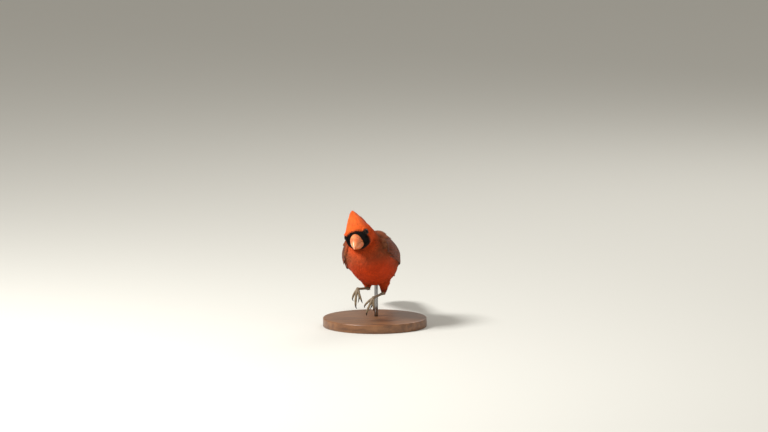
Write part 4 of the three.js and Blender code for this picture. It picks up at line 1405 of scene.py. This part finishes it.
def make_crest(material):
    """Narrow feathers in rings round the crown, each leaning in towards the crest's tip."""
    shares, counts, reaches = zip(*CREST_RINGS)
    share_out, reach = np.repeat(shares, counts), np.repeat(reaches, counts)
    around = np.concatenate([np.arange(count) / count for count in counts]) * 2 * math.pi
    around = around + random.normal(0, 0.05, len(around))
    x = CREST_HALF_WIDTH * share_out * np.sin(around)
    y = CREST_CENTRE - CREST_HALF_LENGTH * share_out * np.cos(around)
    wide, top, middle = (along(HEAD, column, y) for column in (1, 2, 3))
    rounded = np.sqrt(1 - np.clip((HEAD_FRONT + FOREHEAD_ROUND - y) / FOREHEAD_ROUND, 0, 1) ** 2)
    height = (top - middle) * rounded * np.sqrt(1 - np.minimum(x / wide, 0.9) ** 2)
    root = np.stack([x, y, middle + height - CREST_ROOT_DEPTH], 1)
    behind = smoothstep(y, 0, 11)
    reach = np.minimum(reach + random.normal(0, 1, len(x)) * (0.03 + 0.04 * behind), CREST_MOST)
    tip = root + (np.array(CREST_TIP) - root) * reach[:, None]
    ahead = (y - CREST_CENTRE) / CREST_HALF_LENGTH
    away = unit(np.stack([x / CREST_HALF_WIDTH, ahead, np.full(len(x), 0.3)], 1))
    span = np.linalg.norm(tip - root, axis=1)
    bend = (root + tip) / 2 + away * ((0.3 - 0.1 * share_out) * span)[:, None]
    tip = tip + away * (0.2 + random.uniform(0, 0.5, len(x)) * (1 + behind))[:, None]
    s = SHARES[None, :, None]
    centre = (1 - s) ** 2 * root[:, None] + 2 * s * (1 - s) * bend[:, None] + s**2 * tip[:, None]
    onward = unit(2 * (1 - s) * (bend - root)[:, None] + 2 * s * (tip - bend)[:, None])
    outward = unit(away[:, None] - (away[:, None] * onward).sum(-1, keepdims=True) * onward)
    lines = head_pose.out(centre), head_pose.way(outward), head_pose.way(onward)
    width = 2.0 + 0.8 * share_out
    return coat_piece("crest_feathers", lines, span, width, np.full(len(x), 0.25), material)


# Bill, eyes and feet


# How far the inside of the bill's halves rises from the cutting edge, as a share of their depth, so that the
# lower one fills the upper one's hollow
UPPER_HOLLOW = 0.12
LOWER_RISE = -0.09
NOSTRIL_RADII = (1.2, 1.2, 0.8)
NOSTRIL_DEPTH = (0.8, 0, 0.4)


def bill_half(stations, length, upper):
    """One half of the bill: an arch over or under its cutting edge, smooth and finely divided."""
    rings = []
    angle = math.pi * np.arange(33) / 32
    inside = -np.cos(angle[3:-3:3])
    for share in np.linspace(0, 0.998, 44):
        far = share * length
        y = BILL_ROOT - far
        edge, ridge, wide = (float(along(stations, c, far)) for c in (3, 1, 2))
        over = np.sin(angle) ** 0.86
        arch = np.stack([wide * np.cos(angle), np.full(33, y), edge + (ridge - edge) * over], 1)
        level = edge + (ridge - edge) * (UPPER_HOLLOW if upper else LOWER_RISE)
        inner = np.stack([wide * 0.86 * inside, np.full(9, y), np.full(9, level)], 1)
        rings.append(np.concatenate([arch, inner]))
    points, faces = loft(rings)
    if upper:
        for side in (-1, 1):
            near = np.linalg.norm((points - mirrored(NOSTRIL_AT, side)) / NOSTRIL_RADII, axis=1)
            dent = mirrored(NOSTRIL_DEPTH, side)
            points = points - dent * (1 - smoothstep(near, 0.3, 1.0))[:, None]
    return head_pose.out(points), faces


def ball(centre, radius, rings=40, sides=56):
    """A fine sphere in the head's axes, its poles along X."""
    lat = math.pi * (np.arange(1, rings) / rings)
    angle = circle(sides)
    circles = [
        np.stack([np.full(sides, math.cos(t)), math.sin(t) * np.cos(angle), math.sin(t) * np.sin(angle)], 1)
        for t in lat
    ]
    points, faces = loft(circles)
    points[-2], points[-1] = (1, 0, 0), (-1, 0, 0)
    return points * radius + centre, faces


# Section of a lid: angle past its edge, in degrees from the way that the eye looks, and radius
LID_SECTION = [
    (0, 3.66), (-1.6, 3.73), (-1.2, 3.82), (1, 3.88), (3, 3.86), (5, 3.76), (7, 3.8), (9, 3.8), (12, 3.66),
    (15, 3.5), (15, 3.3), (4, 3.45),
]
# Angle of the lids' edge from the way that the eye looks, how much lower the upper lid hangs and how much
# higher the lower one stands, and how much wider the eye opens at its corners
LID_EDGE = 46
UPPER_LID_LOWER = 6
LOWER_LID_HIGHER = 2
CORNER_WIDER = 3.5


def make_lids(material):
    """Bare lids that hold each eye deep in the small feathers, the upper one lower over it than the other."""
    parts = []
    steps = 64
    for side in (-1, 1):
        centre, out, up, ahead = eye_frame(side)
        rings = []
        for around in circle(steps):
            spoke = math.cos(around) * ahead + math.sin(around) * up
            edge = LID_EDGE - UPPER_LID_LOWER * max(math.sin(around), 0) ** 1.5
            edge -= LOWER_LID_HIGHER * max(-math.sin(around), 0)
            edge += CORNER_WIDER * abs(math.cos(around)) ** 6
            ring = []
            for past, radius in LID_SECTION:
                a = math.radians(edge + past)
                ring.append(centre + radius * (out * math.cos(a) + spoke * math.sin(a)))
            rings.append(ring)
        points = head_pose.out(np.array(rings).reshape(-1, 3))
        parts.append((points, grid_faces_round(steps, len(LID_SECTION))))
    return new_object("eye_lids", *merged(parts), material)


# How far the middle of the palm is past the end of the shank, along the shank and along the toes
PALM_PAST = 1.2
PALM_AHEAD = 0.6


def leg_places(name):
    """Where a leg's pieces lie: the heel and palm, and the ways of the shank, the toes and the sole."""
    leg = LEGS[name]
    heel, way = np.array(leg["heel"], float), unit(leg["shank"])
    ahead = unit(leg["toes"])
    sole = -unit(way - ahead * (way @ ahead))
    palm = heel + way * TARSUS_LENGTH + way * PALM_PAST + ahead * PALM_AHEAD
    return heel, palm, way, ahead, sole


# How many degrees a toe curls over its length, and its claw beyond that for each step
TOE_CURL = 46
CLAW_CURL = 4
TOE_STEPS = 40
CLAW_STEPS = 16
# A toe's radii as shares of its root's at shares of its length, and where its knuckles are
TOE_RADII = ((0, 0.25, 0.5, 0.75, 1), (1, 1.0, 0.9, 0.86, 0.72))
KNUCKLES = (0.36, 0.72)
KNUCKLE_SIZE = 0.1
CLAW_ROOT = 0.66
# How far a claw's root lies inside its toe
CLAW_SET = 0.3


def digit(palm, straight, curl_axis, length, claw, radius, lead):
    """Centre lines and radii of a toe and its claw."""

    def heading(degrees):
        return turn_matrix(curl_axis, degrees) @ straight

    points = [palm]
    for k in range(TOE_STEPS):
        points.append(points[-1] + heading(lead + TOE_CURL * (k + 0.5) / TOE_STEPS) * (length / TOE_STEPS))
    share = np.linspace(0, 1, TOE_STEPS + 1)
    knuckles = sum(KNUCKLE_SIZE * np.exp(-(((share - at) / 0.05) ** 2)) for at in KNUCKLES)
    radii = radius * (np.interp(share, *TOE_RADII) + knuckles * 0.8)
    claw_points = [points[-1] - heading(lead + TOE_CURL) * CLAW_SET]
    claw_step = (claw + CLAW_SET) / CLAW_STEPS
    for k in range(CLAW_STEPS):
        claw_points.append(claw_points[-1] + heading(lead + TOE_CURL + CLAW_CURL * k) * claw_step)
    claw_share = np.linspace(0, 1, CLAW_STEPS + 1)
    claw_radii = radius * CLAW_ROOT * (1 - 0.9 * claw_share**1.3)
    return points, radii, claw_points, claw_radii


SCUTE_HEIGHT = 0.1


def scutes(count, steps):
    """The raised edges of the scales along a leg or toe, each so many steps long."""
    return SCUTE_HEIGHT * (np.arange(count) % steps / (steps - 1)) ** 2


# A shank's radii from the heel to the foot, as shares of the way and sizes
SHANK_RADII = ((0, 0.1, 0.3, 0.8, 0.93, 1), (1.9, 1.5, 1.16, 1.13, 1.36, 1.55))
PALM_RADIUS = 1.75
TOE_LEAD = 10
HIND_TOE_LEAD = 84


def make_foot(name, skin_material, claw_material):
    """A shank with its foot, and the foot's claws."""
    heel, palm, way, ahead, sole = leg_places(name)
    side = SIDES[name]
    share = np.linspace(0, 1, 96)
    start = heel + way * 0.4
    line = start + (palm - start) * share[:, None]
    shank = tapered(line, np.interp(share, *SHANK_RADII) + scutes(len(share), 8), 20)
    parts, claws = [shank, ball(palm, PALM_RADIUS, 14, 20)], []
    for toe, (at, length, claw, radius) in TOES.items():
        hind = toe == "hind"
        turn, sunk, lead = (180, 0.8, HIND_TOE_LEAD) if hind else (at * side * TOE_SPREAD, 0, TOE_LEAD)
        straight = turn_matrix(sole, turn) @ ahead
        axis = unit(np.cross(straight, sole))
        toe_line, radii, claw_line, claw_radii = digit(
            palm + sole * sunk, straight, axis, length, claw, radius, lead
        )
        parts.append(tapered(toe_line, radii + scutes(len(radii), 4), 14))
        claws.append(tapered(claw_line, claw_radii, 12))
    skin = new_object(f"leg_{name}", *merged(parts), skin_material)
    horn = new_object(f"claws_{name}", *merged(claws), claw_material)
    return skin, horn


# Materials


class Nodes:
    """A material's node tree, built by name."""

    def __init__(self, name):
        self.material = bpy.data.materials.new(name)
        self.material.use_nodes = True
        self.tree = self.material.node_tree
        self.tree.nodes.clear()
        self.shader = self.add("BsdfPrincipled")
        output = self.add("OutputMaterial")
        self.link(self.shader.outputs[0], output.inputs[0])

    def add(self, kind, **values):
        node = self.tree.nodes.new("ShaderNode" + kind)
        for key, value in values.items():
            if hasattr(node, key):
                setattr(node, key, value)
            else:
                node.inputs[key].default_value = value
        return node

    def link(self, source, target):
        self.tree.links.new(source, target)

    def set(self, **values):
        for key, value in values.items():
            self.shader.inputs[key.replace("_", " ")].default_value = value

    def attribute(self, name):
        return self.add("Attribute", attribute_name=name)

    def math(self, operation, a, b=0.5):
        node = self.add("Math", operation=operation)
        for socket, value in zip(node.inputs, (a, b)):
            if isinstance(value, bpy.types.NodeSocket):
                self.link(value, socket)
            else:
                socket.default_value = value
        return node.outputs[0]

    def mix(self, share, a, b, kind="MIX"):
        node = self.add("Mix", data_type="RGBA", blend_type=kind)
        for socket, value in ((node.inputs[0], share), (node.inputs[6], a), (node.inputs[7], b)):
            if isinstance(value, bpy.types.NodeSocket):
                self.link(value, socket)
            elif socket.type == "RGBA":
                socket.default_value = (*value, 1)
            else:
                socket.default_value = value
        return node.outputs[2]

    def noise(self, scale, detail=3, vector=None, stretch=None):
        noise = self.add("TexNoise", Scale=scale, Detail=detail)
        if vector is None:
            vector = self.add("TexCoord").outputs["Object"]
        if stretch:
            mapping = self.add("Mapping", Scale=stretch)
            self.link(vector, mapping.inputs[0])
            vector = mapping.outputs[0]
        self.link(vector, noise.inputs["Vector"])
        return noise.outputs["Fac"]

    def ramp(self, value, stops):
        """A linear colour for each value, through colours at places from 0 to 1."""
        ramp = self.add("ValToRGB")
        elements = ramp.color_ramp.elements
        while len(elements) < len(stops):
            elements.new(0.5)
        for element, (at, colour) in zip(elements, stops):
            element.position = at
            element.color = (*colour, 1)
        self.link(value, ramp.inputs[0])
        return ramp.outputs[0]

    def colours(self, value, dark, light, ends=(0.3, 0.7)):
        """A ramp between two screen colours."""
        return self.ramp(value, [(ends[0], tuple(linear(dark))), (ends[1], tuple(linear(light)))])

    def greys(self, value, dark, light):
        """A ramp between two shares of white."""
        return self.ramp(value, [(0.3, (dark,) * 3), (0.7, (light,) * 3)])

    def bump(self, height, strength, distance):
        bump = self.add("Bump", Strength=strength, Distance=distance)
        self.link(height, bump.inputs["Height"])
        self.link(bump.outputs[0], self.shader.inputs["Normal"])


def feather_material(name, stiff):
    """Feathers: the markings, with fine streaks along the barbs and a shaft on stiff ones."""
    made = Nodes(name)
    tint = made.attribute("tint").outputs["Color"]
    vane = made.attribute("vane")
    parts = made.add("SeparateXYZ")
    made.link(vane.outputs["Vector"], parts.inputs[0])
    across, share, seed = parts.outputs
    aside = made.math("ABSOLUTE", across)
    slant = made.math("ADD", share, made.math("MULTIPLY", aside, -0.12 if stiff else -0.3))
    spot = made.add("CombineXYZ")
    made.link(across, spot.inputs[0])
    made.link(slant, spot.inputs[1])
    made.link(made.math("MULTIPLY", seed, 37.0), spot.inputs[2])
    stretch = (1.2, 46, 1) if stiff else (9, 1.4, 1)
    barbs = made.noise(4.0 if stiff else 3.0, 4, spot.outputs[0], stretch)
    blotch = made.noise(90, 2)
    colour = made.mix(1.0, tint, made.greys(barbs, 0.72, 1.18), "MULTIPLY")
    colour = made.mix(1.0, colour, made.greys(blotch, 0.86, 1.1), "MULTIPLY")
    if stiff:
        shaft = made.math("LESS_THAN", aside, 0.05)
        colour = made.mix(made.math("MULTIPLY", shaft, 0.6), colour, tuple(COLOUR["wing_dark"] * 0.5))
    made.link(colour, made.shader.inputs["Base Color"])
    made.set(Roughness=0.6 if stiff else 0.72, Specular_IOR_Level=0.12)
    made.set(Sheen_Weight=0.04, Sheen_Roughness=0.5)
    made.bump(barbs, 0.35, 0.0003)
    return made.material


def bill_material():
    """Orange horn with fine lines and a soft gloss."""
    made = Nodes("bill_horn")
    place = made.add("TexCoord").outputs["Object"]
    soft = made.noise(160, 3, place)
    lines = made.noise(700, 4, place)
    base = made.colours(soft, (212, 98, 54), (238, 148, 92))
    colour = made.mix(0.15, base, made.colours(lines, (150, 64, 40), (244, 160, 104), (0.35, 0.65)))
    made.link(colour, made.shader.inputs["Base Color"])
    made.set(Roughness=0.34, Specular_IOR_Level=0.5, Subsurface_Weight=0.12, Subsurface_Scale=0.002)
    made.set(Coat_Weight=0.15, Coat_Roughness=0.25)
    made.bump(lines, 0.12, 0.0002)
    return made.material


# How far from its pole an eye is coloured
IRIS_REACH = 3.4


def eye_material():
    """A dark brown eye: a black pupil in an iris that is darker at its rim."""
    made = Nodes("eye_glass")
    place = made.add("TexCoord").outputs["Object"]
    distances = []
    for side in (-1, 1):
        pole = in_frame(head_pose.out(mirrored(EYE_AT, side) + eye_way(side) * EYE_RADIUS))
        spread = made.add("VectorMath", operation="DISTANCE")
        made.link(place, spread.inputs[0])
        spread.inputs[1].default_value = tuple(pole)
        distances.append(spread.outputs["Value"])
    nearest = made.math("MINIMUM", *distances)
    share = made.math("DIVIDE", nearest, IRIS_REACH * MM)
    pupil, inner, middle, outer = (0.001,) * 3, (48, 26, 16), (32, 17, 12), (12, 8, 7)
    stops = [(0.0, pupil), (0.48, pupil)]
    stops += [(at, tuple(linear(shade))) for at, shade in ((0.54, inner), (0.85, middle), (1.0, outer))]
    colour = made.ramp(share, stops)
    made.link(colour, made.shader.inputs["Base Color"])
    made.set(Roughness=0.05, Specular_IOR_Level=0.16)
    return made.material


def grained_material(name, dark, light, scale, roughness, bump):
    """Bare skin or claw horn, mottled at two sizes."""
    made = Nodes(name)
    grain = made.noise(scale, 4)
    coarse = made.noise(scale / 4, 2)
    colour = made.colours(grain, dark, light)
    colour = made.mix(1.0, colour, made.greys(coarse, 0.85, 1.1), "MULTIPLY")
    made.link(colour, made.shader.inputs["Base Color"])
    made.set(Roughness=roughness)
    made.bump(grain, bump, 0.0002)
    return made.material


def wood_material():
    """Brown wood with a fine grain."""
    made = Nodes("base_wood")
    place = made.add("TexCoord").outputs["Object"]
    grain = made.noise(26, 6, place, (1, 9, 9))
    fibre = made.noise(320, 3, place, (0.6, 12, 12))
    shades = ((0.3, (84, 50, 28)), (0.5, (116, 74, 42)), (0.7, (142, 96, 58)))
    colour = made.ramp(grain, [(at, tuple(linear(shade))) for at, shade in shades])
    colour = made.mix(0.3, colour, made.colours(fibre, (70, 42, 24), (158, 110, 68), (0.35, 0.65)))
    made.link(colour, made.shader.inputs["Base Color"])
    made.set(Roughness=0.42, Coat_Weight=0.2, Coat_Roughness=0.3)
    made.bump(fibre, 0.15, 0.0002)
    return made.material


def steel_material():
    """Brushed steel."""
    made = Nodes("rod_steel")
    brush = made.noise(500, 3, None, (1, 1, 0.04))
    made.link(made.greys(brush, 0.22, 0.4), made.shader.inputs["Roughness"])
    made.set(Base_Color=(0.3, 0.3, 0.3, 1), Metallic=1.0)
    made.bump(brush, 0.08, 0.0001)
    return made.material


def plain_material(name, colour, roughness):
    """One flat colour."""
    made = Nodes(name)
    made.set(Base_Color=(*linear(colour), 1), Roughness=roughness)
    return made.material


# The model

soft = feather_material("plumage", stiff=False)
stiff = feather_material("flight_feathers", stiff=True)
horn = bill_material()
glass = eye_material()
rim = grained_material("eye_rim", (14, 10, 9), (34, 25, 22), 1800, 0.55, 0.2)
leg_skin = grained_material("leg_skin", (98, 80, 58), (134, 114, 86), 900, 0.5, 0.3)
claw_horn = grained_material("claw_horn", (28, 20, 18), (66, 50, 42), 500, 0.32, 0.1)

skin = make_skin()
dress_skin(skin, soft)
surface = Surface(skin)
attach(skin, "root")
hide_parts("head", "neck", "trunk", "thigh_left", "thigh_right")

for piece in [*make_coat(surface, soft), *make_overlays(surface, soft), make_crest(soft)]:
    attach(piece, "root")

for name, side in SIDES.items():
    wing = make_wing(f"wing_feathers_{name}", side, stiff)
    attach(wing, "root")
    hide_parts(f"wing_{name}")

tail = make_tail(stiff)
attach(tail, "root")
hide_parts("tail")

for name, stations, length, upper in (
    ("bill_upper", UPPER_BILL, BILL_LENGTH, True),
    ("bill_lower", LOWER_BILL, LOWER_BILL_LENGTH, False),
):
    piece = new_object(f"horn_{name}", *bill_half(stations, length, upper), horn)
    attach(piece, "root")
    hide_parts(name)

for name, side in SIDES.items():
    points, faces = ball(mirrored(EYE_AT, side), EYE_RADIUS)
    piece = new_object(f"eyeball_{name}", head_pose.out(points), faces, glass)
    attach(piece, "root")
    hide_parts(f"eye_{name}")
    leg, claws = make_foot(name, leg_skin, claw_horn)
    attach(leg, "root")
    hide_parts(f"shank_{name}", f"foot_{name}")
    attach(claws, "root")
    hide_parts(*[f"claw_{name}_{toe}" for toe in TOES])

lids = make_lids(rim)
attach(lids, "root")

# Stand


def from_floor(points):
    """Places in metres from millimetres over the middle of the stand."""
    return np.asarray(points) * MM


def turned(profile, centre, sides):
    """A round body about an upright axis, from radii and heights."""
    angle = circle(sides)
    return loft([
        np.stack([centre[0] + r * np.cos(angle), centre[1] + r * np.sin(angle), np.full(sides, z)], 1)
        for r, z in profile
    ])


profile = [(BASE_RADIUS - BASE_CHAMFER, 0), (BASE_RADIUS, BASE_CHAMFER)]
profile.append((BASE_RADIUS, BASE_THICK - BASE_BEVEL))
for k in range(1, 7):
    turn = 0.5 * math.pi * k / 6
    inward, down = 1 - math.cos(turn), 1 - math.sin(turn)
    profile.append((BASE_RADIUS - BASE_BEVEL * inward, BASE_THICK - BASE_BEVEL * down))
base = new_object("stand_disc", *turned(profile, (0, 0), 160), wood_material(), placed=from_floor)
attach(base, "root")
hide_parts("stand_base")
rod_profile = [(ROD_RADIUS, z) for z in np.linspace(BASE_THICK + GAP, ROD_TOP, 5)]
rod = new_object("stand_post", *turned(rod_profile, ROD_AT, 40), steel_material(), placed=from_floor)
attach(rod, "root")
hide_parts("stand_rod")

# Floor, light and camera
FLOOR_HALF = 30000
corners = [(-1, -1), (1, -1), (1, 1), (-1, 1)]
floor = new_object("floor", [(x * FLOOR_HALF, y * FLOOR_HALF, 0) for x, y in corners], [(0, 1, 2, 3)],
                   plain_material("floor_paint", (214, 212, 204), 0.9), placed=from_floor)

world = bpy.data.worlds.new("studio")
world.use_nodes = True
sky = world.node_tree.nodes["Background"]
sky.inputs["Color"].default_value = (*linear((240, 236, 228)), 1)
sky.inputs["Strength"].default_value = 0.48
bpy.context.scene.world = world


def lamp(name, size, power, place, aim):
    """A square lamp of so many metres and watts, aimed at a place."""
    light = bpy.data.lights.new(name, "AREA")
    light.size, light.energy = size, power
    made = bpy.data.objects.new(name, light)
    bpy.context.scene.collection.objects.link(made)
    made.location = place
    made.rotation_mode = "QUATERNION"
    made.rotation_quaternion = (Vector(aim) - Vector(place)).to_track_quat("-Z", "Y")


# The middle of the model, in metres
MIDDLE = (0, 0, 0.07)
lamp("key", 0.35, 30, (-0.75, -0.8, 1.1), MIDDLE)
lamp("fill", 1.2, 2.5, (1.3, -0.9, 0.6), MIDDLE)
lamp("back", 0.8, 6, (0.4, 1.2, 1.1), MIDDLE)

# The photograph's view: degrees round to the bird's left and up, with one millimetre to a pixel at the bird
CAMERA_TURN = 13
CAMERA_HEIGHT = 8
CAMERA_DISTANCE = 6000
SENSOR_WIDTH = 36
FRAME_WIDTH = 768
TRUNK_PIXEL = (373, 260)
FRAME_MIDDLE = (384, 216)
round_by, up_by = math.radians(CAMERA_TURN), math.radians(CAMERA_HEIGHT)
toward = np.array((
    math.sin(round_by) * math.cos(up_by), -math.cos(round_by) * math.cos(up_by), math.sin(up_by),
))
right = np.array((math.cos(round_by), math.sin(round_by), 0))
above = np.cross(toward, right)
aim = (
    np.array(BIRD_CENTRE, float)
    + right * (FRAME_MIDDLE[0] - TRUNK_PIXEL[0])
    + above * (TRUNK_PIXEL[1] - FRAME_MIDDLE[1])
)
camera_data = bpy.data.cameras.new("camera")
camera_data.sensor_width = SENSOR_WIDTH
camera_data.lens = SENSOR_WIDTH * CAMERA_DISTANCE / FRAME_WIDTH
camera_data.clip_start, camera_data.clip_end = 0.1, 100
camera = bpy.data.objects.new("camera", camera_data)
bpy.context.scene.collection.objects.link(camera)
camera.location = (aim + toward * CAMERA_DISTANCE) * MM
camera.rotation_mode = "QUATERNION"
camera.rotation_quaternion = Vector(-toward).to_track_quat("-Z", "Y")
bpy.context.scene.camera = camera
bpy.context.scene.view_settings.view_transform = "Standard"
